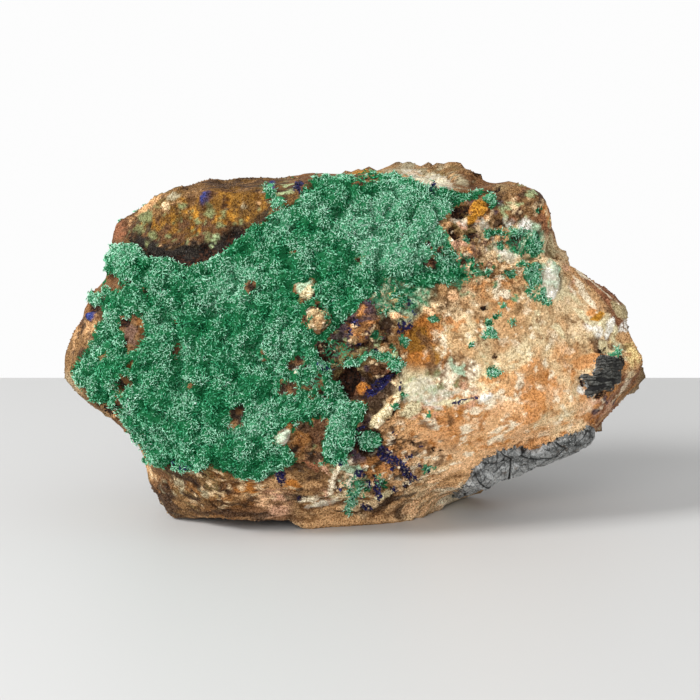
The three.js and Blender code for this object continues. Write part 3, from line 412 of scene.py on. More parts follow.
# Ways the bare rock is broken: across, up, half width, half height, lean.
EVEN_ZONES = [(36, 33, 19, 14, -8), (24, 20, 11, 9, 20), (17, 31, 7, 6, 20), (44, 44, 8, 5, -30)]
STREAKED_ZONES = [(-12, 6, 28, 5, -3), (17, 8, 7, 4, 35)]
PITTED_ZONES = [(-31, 62, 17, 6.5, 10)]
BUSY_ZONES = [
    (3, 36, 9, 14, 0), (4, 13, 9, 8, 0), (-9, 18, 5, 5, 0), (25, 57, 9, 8, 0), (13, 46, 9, 5, 0),
    (-7.5, 45, 4, 5.6, 0),
]

# Small corrections of the outline: across, up, reach, how far out.
RIM_CHANGES = [
    (41.8, 56.6, 2.4, -1.7), (25.4, 71.8, 2, -1.2), (-1.4, 72.4, 3, -0.8), (56.4, 43.6, 3, 1),
    (59, 33, 3, 0.7), (-42.4, 64.6, 3, 0.7), (-45.6, 61.6, 3, 0.5), (-49.6, 51.6, 2.4, -0.9),
    (-53, 45.6, 2, -0.7), (47, 49.4, 4, -0.7), (-41.4, 18, 3, -0.9), (-36.6, 3.4, 2.2, 0.6),
    (54.6, 27.6, 3, -0.6),
]

PLATE_OUTLINE = [
    (49.8, 35.8), (51, 35), (54, 34.8), (55, 33.4), (54.2, 31.6), (54.6, 29.8), (53.2, 29.2), (52.6, 27.8),
    (50.2, 27.6), (48.8, 27.4), (47.6, 26.6), (46.8, 26.8), (47.2, 28.8), (46.2, 31.2), (48, 31), (49, 32),
    (49.4, 34.6),
]
SEAM_OUTLINE = [
    (20.6, 5.2), (21.4, 6.8), (25.2, 12.8), (30, 15.6), (34, 16.4), (36.8, 16.2), (40.4, 17.6),
    (48.8, 20.6), (49.6, 18.6), (48.4, 15.6), (44, 12.6), (40, 11), (33.4, 8.2), (26, 5), (21, 3),
]


# ---------------------------------------------------------------- noise, as numbers

def scatter(cells, seed):
    """A repeatable number from 0 to 1 for each whole-numbered cell."""
    mixed = (cells.astype(np.int64) * (73856093, 19349663, 83492791)).sum(axis=-1) + seed * 97354321
    mixed = ((mixed ^ (mixed >> 15)) * 2246822519) & 0xFFFFFFFF
    mixed = ((mixed ^ (mixed >> 13)) * 3266489917) & 0xFFFFFFFF
    return ((mixed ^ (mixed >> 16)) & 0xFFFFFF) / float(0xFFFFFF)


def soft_noise(points, wavelength, seed):
    """Smooth noise from -1 to 1."""
    scaled = points / wavelength
    cells = np.floor(scaled).astype(np.int64)
    part = scaled - cells
    part = part * part * (3 - 2 * part)
    total = np.zeros(len(points))
    for corner in np.ndindex(2, 2, 2):
        share = np.prod(np.where(corner, part, 1 - part), axis=1)
        total += share * scatter(cells + np.array(corner), seed)
    return 2 * total - 1


def rough_noise(points, wavelength, octaves, seed):
    """Several soft noises, each half as long and half as high as the last."""
    total = np.zeros(len(points))
    for octave in range(octaves):
        total += soft_noise(points, wavelength / 2 ** octave, seed + octave) / 2 ** octave
    return total


def blown_about(places, points, reach, wavelength, octaves, seeds):
    """The places, each moved by noise up to about that reach, for edges that wander."""
    moved = [rough_noise(points, wavelength, octaves, seed) for seed in seeds]
    return places + reach * np.stack(moved, axis=1)


def own_tilt(number):
    """A slope for each broken piece, worked out from its own number."""
    return np.stack([np.sin(number * 40), np.cos(number * 57), np.sin(number * 71)], axis=1)


def cells_near(points, spacing, seed):
    """For points among scattered cell middles: the distance to the nearest and the next, the nearest's own
    number, and the way to the point from the nearest middle."""
    scaled = points / spacing
    home = np.floor(scaled).astype(np.int64)
    nearest = np.full(len(points), np.inf)
    second = np.full(len(points), np.inf)
    number = np.zeros(len(points))
    offset = np.zeros((len(points), 3))
    for step in np.ndindex(3, 3, 3):
        cell = home + np.array(step) - 1
        middle = cell + np.stack([scatter(cell, seed + axis) for axis in range(3)], axis=1)
        away = scaled - middle
        distance = np.linalg.norm(away, axis=1)
        closer = distance < nearest
        second = np.where(closer, nearest, np.minimum(second, distance))
        nearest = np.where(closer, distance, nearest)
        number = np.where(closer, scatter(cell, seed + 3), number)
        offset = np.where(closer[:, None], away, offset)
    return nearest * spacing, second * spacing, number, offset * spacing


def broken(points, spacing, seed, tilt, hollow):
    """Height of tilted, slightly dished break faces that meet in sharp ridges."""
    scaled = points / spacing
    home = np.floor(scaled).astype(np.int64)
    lowest = np.full(len(points), np.inf)
    for step in np.ndindex(3, 3, 3):
        cell = home + np.array(step) - 1
        middle = cell + np.stack([scatter(cell, seed + axis) for axis in range(3)], axis=1)
        slope = tilt * (2 * np.stack([scatter(cell, seed + 3 + axis) for axis in range(3)], axis=1) - 1)
        away = (scaled - middle) * spacing
        height = (slope * away).sum(axis=1) + hollow * (away ** 2).sum(axis=1) / spacing
        lowest = np.minimum(lowest, height)
    return lowest


def ramp(values, low, high):
    """0 below low, 1 above high, and a smooth rise between."""
    part = np.clip((values - low) / (high - low), 0, 1)
    return part * part * (3 - 2 * part)


# ---------------------------------------------------------------- fields on the face

def inside(outline, places):
    """Distance inside a closed outline, negative outside it."""
    start = np.array(outline, float)
    end = np.roll(start, -1, axis=0)
    along = end - start
    reach = places[:, None, :] - start[None]
    part = np.clip((reach * along).sum(axis=2) / (along ** 2).sum(axis=1), 0, 1)
    distance = np.linalg.norm(reach - part[..., None] * along, axis=2).min(axis=1)
    x, y = places[:, 0:1], places[:, 1:2]
    spans = (start[:, 1] > y) != (end[:, 1] > y)
    rise = np.where(along[:, 1] == 0, 1e-9, along[:, 1])
    crossing = start[:, 0] + (y - start[:, 1]) * along[:, 0] / rise
    odd = (spans & (x < crossing)).sum(axis=1) % 2 == 1
    return np.where(odd, distance, -distance)


def within_spots(spots, places):
    """Distance inside the nearest spot, negative outside all of them."""
    best = np.full(len(places), -float(NOWHERE))
    for across, up, half_width, half_height, lean in spots:
        cos, sin = math.cos(math.radians(lean)), math.sin(math.radians(lean))
        dx, dy = places[:, 0] - across, places[:, 1] - up
        away = np.hypot((dx * cos + dy * sin) / half_width, (dy * cos - dx * sin) / half_height)
        best = np.maximum(best, (1 - away) * math.sqrt(half_width * half_height))
    return best


def linear(red_green_blue):
    """A plain sRGB colour, from 0 to 255, as linear light."""
    part = np.array(red_green_blue) / 255
    return np.where(part <= 0.04045, part / 12.92, ((part + 0.055) / 1.055) ** 2.4)


# ---------------------------------------------------------------- the rock's mesh

def geodesic(parts):
    """A unit sphere of 20 * parts**2 even triangles."""
    seed = bmesh.new()
    bmesh.ops.create_icosphere(seed, subdivisions=1, radius=1)
    corners = np.array([v.co for v in seed.verts])
    faces = np.array([[v.index for v in face.verts] for face in seed.faces])
    seed.free()
    grid = [(i, j) for i in range(parts + 1) for j in range(parts + 1 - i)]
    index = {place: n for n, place in enumerate(grid)}
    upright = [(index[i, j], index[i + 1, j], index[i, j + 1]) for i, j in grid if i + j < parts]
    inverted = [
        (index[i + 1, j], index[i + 1, j + 1], index[i, j + 1]) for i, j in grid if i + j < parts - 1
    ]
    local = np.array(upright + inverted)
    weights = np.array([(parts - i - j, i, j) for i, j in grid]) / parts
    points = np.concatenate([weights @ corners[face] for face in faces])
    triangles = np.concatenate([local + n * len(grid) for n in range(len(faces))])
    points /= np.linalg.norm(points, axis=1, keepdims=True)
    _, first, same = np.unique(np.round(points, 6), axis=0, return_index=True, return_inverse=True)
    return points[first], same.reshape(-1)[triangles]


def refine(points, triangles, chosen):
    """Splits the chosen triangles in four, and their neighbours so that no gap opens."""
    ends = np.sort(triangles[:, [[0, 1], [1, 2], [2, 0]]], axis=2)
    keys = ends[..., 0] * len(points) + ends[..., 1]
    split = np.unique(keys[chosen])
    cut = np.isin(keys, split)
    middles = (points[split // len(points)] + points[split % len(points)]) / 2
    middle = len(points) + np.searchsorted(split, keys)
    cuts = cut.sum(axis=1)
    pieces = [triangles[cuts == 0]]
    a, b, c = triangles[cuts == 3].T
    ab, bc, ca = middle[cuts == 3].T
    pieces += [np.stack(t, axis=1) for t in ((a, ab, ca), (ab, b, bc), (ca, bc, c), (ab, bc, ca))]
    for edge in range(3):
        order = np.roll(np.arange(3), -edge)
        one = (cuts == 1) & cut[:, edge]
        a, b, c = triangles[one][:, order].T
        ab = middle[one, edge]
        pieces += [np.stack(t, axis=1) for t in ((a, ab, c), (ab, b, c))]
        two = (cuts == 2) & ~cut[:, (edge + 2) % 3]
        a, b, c = triangles[two][:, order].T
        ab, bc = middle[two][:, [edge, (edge + 1) % 3]].T
        pieces += [np.stack(t, axis=1) for t in ((ab, b, bc), (a, ab, bc), (a, bc, c))]
    return np.concatenate([points, middles]), np.concatenate(pieces)


def normals_of(points, triangles):
    """The way each point faces, from the triangles round it."""
    a, b, c = points[triangles[:, 0]], points[triangles[:, 1]], points[triangles[:, 2]]
    flat = np.cross(b - a, c - a)
    total = np.zeros_like(points)
    for corner in range(3):
        for axis in range(3):
            total[:, axis] += np.bincount(triangles[:, corner], flat[:, axis], len(points))
    return total / np.linalg.norm(total, axis=1, keepdims=True)


def smoothed(points, triangles, rounds):
    """Each point drawn half way to the middle of its neighbours, several times over."""
    ends = np.concatenate([triangles[:, [0, 1]], triangles[:, [1, 2]], triangles[:, [2, 0]]])
    count = np.bincount(ends[:, 0], minlength=len(points))[:, None]
    for _ in range(rounds):
        sums = [np.bincount(ends[:, 0], points[ends[:, 1], axis], len(points)) for axis in range(3)]
        points = 0.5 * points + 0.5 * np.stack(sums, axis=1) / count
    return points


def smoothed_heights(heights, triangles, rounds):
    """The same for one number at each point."""
    return smoothed(heights[:, None] * np.ones(3), triangles, rounds)[:, :1]


def stand_on_floor(placed, rests):
    """Flattens what rests on the floor and lifts what is below it, in place."""
    placed[rests, 2] = 0
    placed[:, 2] = np.maximum(placed[:, 2], 0)


# How finely the first mesh is cut, and how many rounds of smoothing the form has.
SPHERE_PARTS = 55
SMOOTHING = 12
BACK_SMOOTHING = 5
LEVELLING = 16
# How far a triangle must look out of the face to be made finer.
FRONT_LOOKS = 0.2
# The usual height of the broken faces, and how far the form is sunk to make room for what stands on it.
FACES_LEVEL = -1.1
SINK = 0.6
# Points this near the floor rest on it.
TOUCH = 0.02
# How high the lower edge is lifted where it clears the floor, and nothing is strewn lower than this.
CLEARANCE = 1.5
CLEAR_OF_FLOOR = 1.3
# Where the sulphide seam ends behind the face.
DEEPEST = 17
SEAM_END_NOISE = 2.2
# How deep a field goes where its mineral is nowhere near, and the span that is kept of it.
NOWHERE = 9
FIELD_SPAN = 3


def rock_form():
    """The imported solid's form in the face's frame: an even, smoothed mesh, finer on the face and finest
    where the face is busiest."""
    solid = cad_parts[NODE].data
    corners = np.array([v.co for v in solid.vertices]) / MM
    sides = [tuple(p.vertices) for p in solid.polygons]
    tree = BVHTree.FromPolygons([Vector(p) for p in to_face(corners)], sides)
    heart = Vector(HEART)

    def skin(directions):
        rays = directions * HALF_SIZE
        return np.array([tree.ray_cast(heart, Vector(ray))[0] for ray in rays])

    directions, triangles = geodesic(SPHERE_PARTS)
    points = skin(directions)
    facing = normals_of(points, triangles)[triangles].mean(axis=1)
    directions, triangles = refine(directions, triangles, facing[:, 2] > FRONT_LOOKS)
    points = skin(directions)
    middles = as_seen(points[triangles].mean(axis=1))
    facing = normals_of(points, triangles)[triangles].mean(axis=1)
    busy = (within_spots(BUSY_ZONES, middles) > 0) & (facing[:, 2] > FRONT_LOOKS)
    directions, triangles = refine(directions, triangles, busy)
    points = skin(directions)
    rests = to_part(points)[:, 2] < TOUCH
    sharp = smoothed(points, triangles, BACK_SMOOTHING)
    soft = smoothed(sharp, triangles, SMOOTHING - BACK_SMOOTHING)
    share = ramp(normals_of(soft, triangles)[:, 2:], -0.2, 0.2)
    even = sharp + share * (soft - sharp)
    normals = normals_of(even, triangles)
    lost = ((points - even) * normals).sum(axis=1)
    points = even + normals * smoothed_heights(lost, triangles, LEVELLING)
    ground = to_part(points)
    stand_on_floor(ground, rests)
    # The lower edge clears the floor left of the middle and under the overhanging right end.
    sideways = ramp(points[:, 0], -8, -14) * ramp(points[:, 0], -40, -36) + 0.6 * ramp(points[:, 0], 26, 34)
    forward = ramp(points[:, 2], -36, -22)
    ground[:, 2] += CLEARANCE * sideways * forward * np.exp(-ground[:, 2] / 9)
    return to_face(ground), triangles


def crust_tone(points, places):
    """How pale the crust is, from 0 for deep emerald to 1 for pale green."""
    tone = 0.52 + 0.34 * rough_noise(points, 4.6, 4, 91)
    for *spot, paler in CRUST_TONES:
        tone += paler * ramp(within_spots([spot], places), -1.2, 1.2)
    return np.clip(tone, 0, 1)


def field_values(points, normals):
    """How deep each point lies in each mineral, in millimetres, and how pale and how dense the crust is."""
    seen = as_seen(points)
    places = blown_about(seen, points, 0.55, 3.2, 3, (11, 21))
    ragged = blown_about(places, points, 0.5, 1.5, 2, (15, 17))
    looks_out = normals[:, 2]
    front = ramp(looks_out, -0.15, 0.15)
    away = NOWHERE * (1 - front)

    def mineral(spots, steepness, wavelength, octaves, seed, rarity):
        """Spots on the face, and patches left to chance behind it."""
        behind = steepness * (rough_noise(points, wavelength, octaves, seed) - rarity) - NOWHERE * front
        return np.maximum(within_spots(spots, places) - away, behind)

    crust = np.minimum(inside(CRUST_EDGE, places), -within_spots(CRUST_WINDOWS, ragged + (ragged - places)))
    specks = within_spots(GREEN_SPECKS, ragged)
    mottle = within_spots(GREEN_MOTTLE, ragged) - away
    patches = 9 * (rough_noise(points, 17, 3, 31) - 0.62)
    blotches = 1.6 * rough_noise(points, 1.4, 2, 25) - 0.9
    near = np.maximum(mottle + 0.6, np.where(front > 0.5, -NOWHERE, patches + 2.4))
    crust = np.maximum(np.maximum(crust, specks) - away, np.minimum(near, blotches))
    crust = np.maximum(crust, patches - NOWHERE * ramp(looks_out, -0.6, -0.25))
    sulphide = np.maximum(inside(SEAM_OUTLINE, places), inside(PLATE_OUTLINE, places)) - away
    to_end = points[:, 2] + DEEPEST + SEAM_END_NOISE * rough_noise(points, 5, 3, 303)
    sulphide = np.minimum(sulphide, to_end)
    rim = ramp(looks_out, -0.35, -0.05) * ramp(looks_out, 0.5, 0.3)
    outside_crust = ramp(inside(CRUST_EDGE, places), 0, -1)
    tone = crust_tone(points, places) + 0.35 * ramp(specks, -0.8, 0) * outside_crust
    tone = np.clip(tone, 0, 1)
    fields = {
        "granular": np.minimum(-crust, -sulphide) - 4 * rim,
        "crust": crust,
        "azurite": mineral(AZURITE, 6, 9, 3, 41, 1.0),
        "dark": mineral(DARK_ORE, 6, 8, 3, 51, 0.8),
        "quartz": mineral(WHITE_QUARTZ, 8, 14, 2, 61, 0.7),
        "mottle": mottle,
        "sulphide": sulphide,
        "tone": tone,
        "felted": np.clip(0.06 + 1.1 * tone ** 1.6 + 0.3 * soft_noise(points, 1.6, 95), 0.03, 1),
        "everywhere": np.ones(len(points)),
        "calm": front * zone(EVEN_ZONES, seen, 3.0),
        "behind": 1 - ramp(looks_out, -0.4, 0.0),
        "grainy": 0.3 + 0.7 * ramp(looks_out, -0.4, 0.0),
    }
    return {name: np.clip(values, -FIELD_SPAN, FIELD_SPAN) for name, values in fields.items()}


# Flecks smaller than this are crisp, and larger ones soft: each has its edge's width and its strength.
SOFT_FLECKS = 1.5
CRISP = (0.09, 0.85)
SOFT = (0.45, 0.6)
# How far flecks are drawn out along their lean.
STREAK_DRAWN = 0.22
BAND_DRAWN = 0.5


def blend(colour, share, stone):
    """Mixes a stone's colour in, in place."""
    colour += share[:, None] * (linear(STONES[stone]) - colour)


def fleck(colour, points, places, spots, drawn, front, seed):
    """Blends in flecks of other stones within their zones, each covering its own share of the zone."""
    for n, (*spot, size, share, stone) in enumerate(spots):
        depth = within_spots([spot], places)
        near = np.flatnonzero((depth > -0.6) & (front > 0.1))
        lean = math.radians(spot[-1])
        cos, sin = math.cos(lean), math.sin(lean)
        x, y, z = points[near].T
        turned = np.stack([(x * cos + y * sin) * drawn, y * cos - x * sin, z], axis=1)
        noise = rough_noise(turned, 2 * size, 3, seed + 5 * n)
        cut = np.quantile(noise, 1 - share)
        edge, strength = CRISP if size < SOFT_FLECKS else SOFT
        covered = strength * ramp(noise, cut - edge, cut + edge)
        amount = np.zeros(len(points))
        amount[near] = covered * ramp(depth[near], -0.6, 0.6) * front[near]
        blend(colour, amount, stone)


def ground_colour(points, normals, seed):
    """The rock's own colour at each point, from the stones near it, with its edges blown about by noise."""
    seen = as_seen(points)
    places = blown_about(seen, points, 1.5, 4, 4, (seed, seed + 7))
    total = np.zeros((len(points), 3))
    weight = np.zeros(len(points))
    for across, up, reach, stone in GROUND:
        near = np.exp(-(((places[:, 0] - across) ** 2 + (places[:, 1] - up) ** 2) / reach ** 2) * 1.6)
        total += near[:, None] * linear(STONES[stone])
        weight += near
    share = 0.0003 + 3 * (1 - ramp(normals[:, 2], -0.4, 0.0))
    for n, stone in enumerate(BACK_STONES):
        near = share * np.exp(3.2 * rough_noise(points, 15, 4, 71 + 5 * n))
        total += near[:, None] * linear(STONES[stone])
        weight += near
    colour = total / weight[:, None]
    front = ramp(normals[:, 2], -0.4, -0.05)
    under = front * ramp(inside(CRUST_EDGE, seen), -0.6, 0.6)
    window = rough_noise(points, 1.2, 2, seed + 11)
    blend(colour, 0.9 * under, "brown")
    blend(colour, 0.9 * under * ramp(window, 0.15, 0.35), "bark")
    blend(colour, 0.9 * under * ramp(window, -0.05, -0.25), "soot")
    places = blown_about(seen, points, 0.8, 2.2, 3, (seed + 1, seed + 2))
    fleck(colour, points, places, FLECKS, 1, front, 501)
    fleck(colour, points, places, STREAKS, STREAK_DRAWN, front, 1501)
    fleck(colour, points, places, BANDS, BAND_DRAWN, front, 2001)
    places = blown_about(seen, points, 0.35, 1.3, 2, (seed + 3, seed + 5))
    for *spot, _, stone in STONE_SPOTS:
        blend(colour, front * ramp(within_spots([spot], places), -0.15, 0.15), stone)
    fleck(colour, points, places, SPOT_FLECKS, 1, front, 2501)
    ring = np.hypot(*(places - ROSETTE).T)
    for radius in ROSETTE_RINGS:
        blend(colour, 0.8 * front * np.exp(-((ring - radius) / 0.16) ** 2), "bark")
    return colour


def zone(spots, places, edge):
    """1 inside the zones and 0 outside them, with a soft edge that many millimetres wide."""
    return ramp(within_spots(spots, places), -edge, edge)


def relief(points, normals, fields):
    """How far each point stands above the smoothed form, in millimetres."""
    places = as_seen(points)
    looks_out = normals[:, 2]
    front = ramp(looks_out, -0.1, 0.4)
    back = 1 - ramp(looks_out, -0.35, 0.1)
    even = front * zone(EVEN_ZONES, places, 2.0)
    streaked = front * zone(STREAKED_ZONES, places, 1.0)
    pitted = front * zone(PITTED_ZONES, places, 1.0)
    busy = front * zone(BUSY_ZONES, places, 1.5)
    worn = 0.65 * ramp(looks_out, -0.35, -0.05) * ramp(looks_out, 0.65, 0.4) * (1 - streaked)
    crusted = ramp(fields["crust"] + 0.25 * soft_noise(points, 0.9, 101), -0.25, 0.25)
    bare = 1 - crusted

    faces = broken(points, 13, 111, 0.34, 0.22) + 0.5 * broken(points, 5, 115, 0.5, 0.3)
    _, _, chip, chip_offset = cells_near(points * (1, 1.35, 1), 2.4, 121)
    chips = 0.3 * (chip - 0.5) + 0.2 * (own_tilt(chip) * chip_offset).sum(axis=1)
    chips *= (1 - worn) * (1 - 0.75 * even) * (1 - 0.6 * pitted) * (0.8 + 0.9 * busy + 1.7 * back)
    grain, _, _, _ = cells_near(points, 1.15, 131)
    grains = 0.25 * (0.6 - grain)
    bent = blown_about(points, points, 0.5, 2.0, 1, (146, 147, 148))
    lobe, _, _, _ = cells_near(bent, 3.0, 145)
    tuft, _, _, _ = cells_near(bent, 1.4, 141)
    tufts = 0.8 * (1 - (lobe / 1.6) ** 2) + 0.48 * (1 - (tuft / 0.8) ** 2)
    layers = soft_noise(points * (0.12, 1, 1), 1.5, 171) + 0.6 * soft_noise(points * (0.2, 1, 1), 0.7, 172)
    pits = -0.4 * ramp(soft_noise(points, 1.6, 181), 0.25, 0.7) + 0.2 * rough_noise(points, 1.0, 2, 182)

    height = (0.3 + 0.25 * back - 0.1 * even) * rough_noise(points, 12, 3, 151)
    height += (back + 0.3 * (1 - back) * bare * (1 - 0.7 * even)) * (faces - FACES_LEVEL)
    height += bare * chips
    height += bare * ((1 - worn) * (1 - 0.4 * even) * grains + 0.32 * streaked * layers + pitted * pits)
    height += crusted * (tufts + 0.4 * rough_noise(points, 6, 2, 161)) - SINK
    height -= ramp(fields["dark"], -0.6, 0.8) * bare * 0.9
    for *spot, proud, _ in STONE_SPOTS:
        height += front * proud * ramp(within_spots([spot], places), -0.3, 0.45)
    ring = np.hypot(*(places - ROSETTE).T)
    height += front * 0.35 * (np.exp(-((ring - 1.4) / 0.35) ** 2) + np.exp(-(ring / 0.5) ** 2))
    height *= 1 - 0.8 * ramp(fields["sulphide"], -0.3, 0.8)
    for across, up, reach, change in RIM_CHANGES:
        height += change * np.exp(-((places[:, 0] - across) ** 2 + (places[:, 1] - up) ** 2) / reach ** 2)
    # A lip of rock stands along the seam's upper edge.
    edge = inside(SEAM_OUTLINE, places)
    above = ramp((normals * np.array([0.3, 1, 0])).sum(axis=1), -0.75, -0.35)
    height += front * above * 0.5 * np.exp(-((edge + 0.5) / 0.45) ** 2)
    return height


def make_mesh(name, points, triangles, fields, colours):
    """A mesh in the part's frame, in metres, from places in the face's frame."""
    mesh = bpy.data.meshes.new(name)
    placed = to_part(points) * MM
    mesh.vertices.add(len(placed))
    mesh.vertices.foreach_set("co", placed.astype(np.float32).ravel())
    mesh.loops.add(triangles.size)
    mesh.loops.foreach_set("vertex_index", triangles.astype(np.int32).ravel())
    mesh.polygons.add(len(triangles))
    mesh.polygons.foreach_set("loop_start", np.arange(0, triangles.size, 3, dtype=np.int32))
    mesh.update(calc_edges=True)
    mesh.validate()
    for field, values in fields.items():
        mesh.attributes.new(field, "FLOAT", "POINT").data.foreach_set("value", values.astype(np.float32))
    for field, values in colours.items():
        rgba = np.concatenate([values, np.ones((len(values), 1))], axis=1).astype(np.float32)
        mesh.attributes.new(field, "FLOAT_COLOR", "POINT").data.foreach_set("color", rgba.ravel())
    return mesh


# The relief fades in over this height above the floor.
EASED_IN = 2
# A cavity is what lies below the smoothed relief; the materials darken cavities as painted shade and pale
# the needles on high points as painted light.
CAVITY_ROUNDS = 26
CAVITY_STRENGTH = 2.4


def make_rock():
    """The rock, with every mineral's field and the stones' colours on its points."""
    points, triangles = rock_form()
    normals = normals_of(points, triangles)
    fields = field_values(points, normals)
    colours = {"ground": ground_colour(points, normals, 201)}
    height = relief(points, normals, fields)
    off_floor = to_part(points)[:, 2]
    raised = points + normals * (height * ramp(off_floor, 0, EASED_IN))[:, None]
    level = smoothed_heights(height, triangles, CAVITY_ROUNDS)[:, 0]
    fields["cavity"] = np.clip((level - height) * CAVITY_STRENGTH, -1, 1)
    placed = to_part(raised)
    stand_on_floor(placed, off_floor < TOUCH)
    for name in ("granular", "crust", "azurite"):
        fields[name][placed[:, 2] < CLEAR_OF_FLOOR] = -FIELD_SPAN
    mesh = make_mesh("rock", to_face(placed), triangles, fields, colours)
    rock = bpy.data.objects.new("rock", mesh)
    bpy.context.scene.collection.objects.link(rock)
    return rock


# ---------------------------------------------------------------- patches laid on the rock

def plane_axes(turn, tip, roll):
    """Across, up and outward directions of a plane turned, tipped and rolled on the face, in degrees."""
    spin = Matrix.Rotation(math.radians(turn), 3, "Y") @ Matrix.Rotation(math.radians(-tip), 3, "X")
    spin = np.array(spin @ Matrix.Rotation(math.radians(roll), 3, "Z"))
    return spin[:, 0], spin[:, 1], spin[:, 2]


# How far out of the rock the sight lines that find it start, and how far they go.
PATCH_START = 16
PATCH_REACH = 34
# A patch stops this far inside its own grid, and its edge slopes down over the second width.
PATCH_MARGIN = 1.5
PATCH_EDGE = 0.5


def patch(name, tree, outline, ragged, centre, angles, half_size, step, depth, height):
    """A closed shell over part of the rock, within an outline as seen, whose skin stands up by height()."""
    across, up, out = plane_axes(*angles)
    columns = np.arange(-half_size[0], half_size[0], step)
    rows = np.arange(-half_size[1], half_size[1], step)
    grid = np.stack(np.meshgrid(columns, rows, indexing="ij"), axis=-1).reshape(-1, 2)
    starts = np.array(centre) + grid[:, :1] * across + grid[:, 1:] * up + PATCH_START * out
    hits = [tree.ray_cast(Vector(start), Vector(-out), PATCH_REACH)[0] for start in starts]
    found = np.array([hit is not None for hit in hits])
    base = np.array([hit if hit is not None else (0, 0, 0) for hit in hits])
    seen = as_seen(base)
    to_edge = (np.array(half_size) - np.abs(grid)).min(axis=1) - PATCH_MARGIN
    to_end = np.minimum(to_edge, base[:, 2] + DEEPEST) + SEAM_END_NOISE * rough_noise(base, 5, 3, 303)
    wandering = blown_about(seen, base, ragged, 1.2, 3, (301, 302))
    kept = found & (inside(outline, wandering) > 0) & (to_end > 0)
    kept = kept.reshape(len(columns), len(rows))
    cells = kept[:-1, :-1] & kept[1:, :-1] & kept[1:, 1:] & kept[:-1, 1:]
    number = np.arange(len(grid)).reshape(kept.shape)
    corners = [number[:-1, :-1], number[1:, :-1], number[1:, 1:], number[:-1, 1:]]
    squares = np.stack([corner[cells] for corner in corners], axis=1)
    used = np.unique(squares)
    lift, crack, bright = height(grid[used], base[used])
    edge_depth = np.clip(np.minimum(inside(outline, seen[used]), to_end[used]) / PATCH_EDGE, 0, 1)
    top = base[used] + out * (lift * edge_depth)[:, None]
    bottom = base[used] - out * depth
    new = np.full(len(grid), -1)
    new[used] = np.arange(len(used))
    quads = new[squares]
    under = quads[:, ::-1] + len(used)
    edges = np.concatenate([quads[:, [0, 1]], quads[:, [1, 2]], quads[:, [2, 3]], quads[:, [3, 0]]])
    forward = edges[:, 0] * len(used) + edges[:, 1]
    backward = edges[:, 1] * len(used) + edges[:, 0]
    rim = edges[~np.isin(forward, backward)]
    sides = np.stack([rim[:, 1], rim[:, 0], rim[:, 0] + len(used), rim[:, 1] + len(used)], axis=1)
    faces = np.concatenate([quads, under, sides])
    triangles = np.concatenate([faces[:, [0, 1, 2]], faces[:, [0, 2, 3]]])
    mesh = make_mesh(name, np.concatenate([top, bottom]), triangles,
                     {"crack": np.tile(crack, 2), "bright": np.tile(bright, 2)}, {})
    piece = bpy.data.objects.new(name, mesh)
    bpy.context.scene.collection.objects.link(piece)
    finish(piece)
    return piece


# How far a patch's skin stands off the rock at least, and the size of the plates in the stack.
THINNEST = 0.03
PLATE_THICKNESS = 0.62
PLATE_LENGTH = 2.2


def cleaved(grid, base):
    """Flat broken blocks a little out of step with each other, with narrow cracks between them.

    Gives each point's height, how far it is down a crack, from 0 to 1, and how bright it is."""
    bent = blown_about(grid, base, 0.25, 2.0, 2, (431, 441))
    bent = np.concatenate([bent, np.zeros((len(grid), 1))], axis=1)
    near, second, block, offset = cells_near(bent * (0.55, 1, 1), 4.6, 401)
    height = 0.35 + 0.35 * (block - 0.5) + 0.05 * (own_tilt(block) * offset)[:, :2].sum(axis=1)
    crack = ramp(0.2 - (second - near), 0, 0.12)
    near, second, small, offset = cells_near(bent * (1, 0.6, 1), 1.5, 411)
    height += 0.12 * (small - 0.5) + 0.04 * (own_tilt(small) * offset)[:, :2].sum(axis=1)
    fine = ramp(0.12 - (second - near), 0, 0.08) * (small > 0.35)
    fine *= ramp(soft_noise(base, 3.4, 451), -0.8, -0.3)
    depth = np.maximum(crack, 0.8 * fine)
    top = ramp(grid[:, 1] + 1.2 * rough_noise(base, 3.0, 3, 461), 0.4, -1.6)
    return np.maximum(height - 0.3 * depth + 0.01 * rough_noise(base, 0.5, 2, 421), THINNEST), depth, top


def layered(grid, base):
    """The broken edges of thin plates, one above another, with the same three numbers."""
    wavy = grid[:, 1] + 0.6 * soft_noise(base, 2.6, 431) + 0.3 * rough_noise(base, 1.0, 2, 432)
    layer = np.floor(wavy / PLATE_THICKNESS)
    part = wavy / PLATE_THICKNESS - layer
    shift = 5 * scatter(np.stack([layer, layer, layer], axis=1), 441)
    along = np.floor((grid[:, 0] + shift) / PLATE_LENGTH)
    step = scatter(np.stack([layer, along, layer * 0], axis=1), 451)
    height = 0.35 + 0.9 * (step - 0.5) + 0.4 * soft_noise(base, 3.0, 461) - 0.2 * part
    gap = ramp(np.abs(part - 0.5), 0.3, 0.5) * ramp(soft_noise(base * (0.4, 1, 1), 1.2, 481), -0.7, -0.1)
    gap = np.maximum(gap, ramp(0.25 - step, 0, 0.1))
    bright = 0.5 + 0.5 * soft_noise(base, 1.6, 491)
    return np.maximum(height - 0.5 * gap + 0.25 * rough_noise(base, 0.6, 3, 471), THINNEST), gap, bright


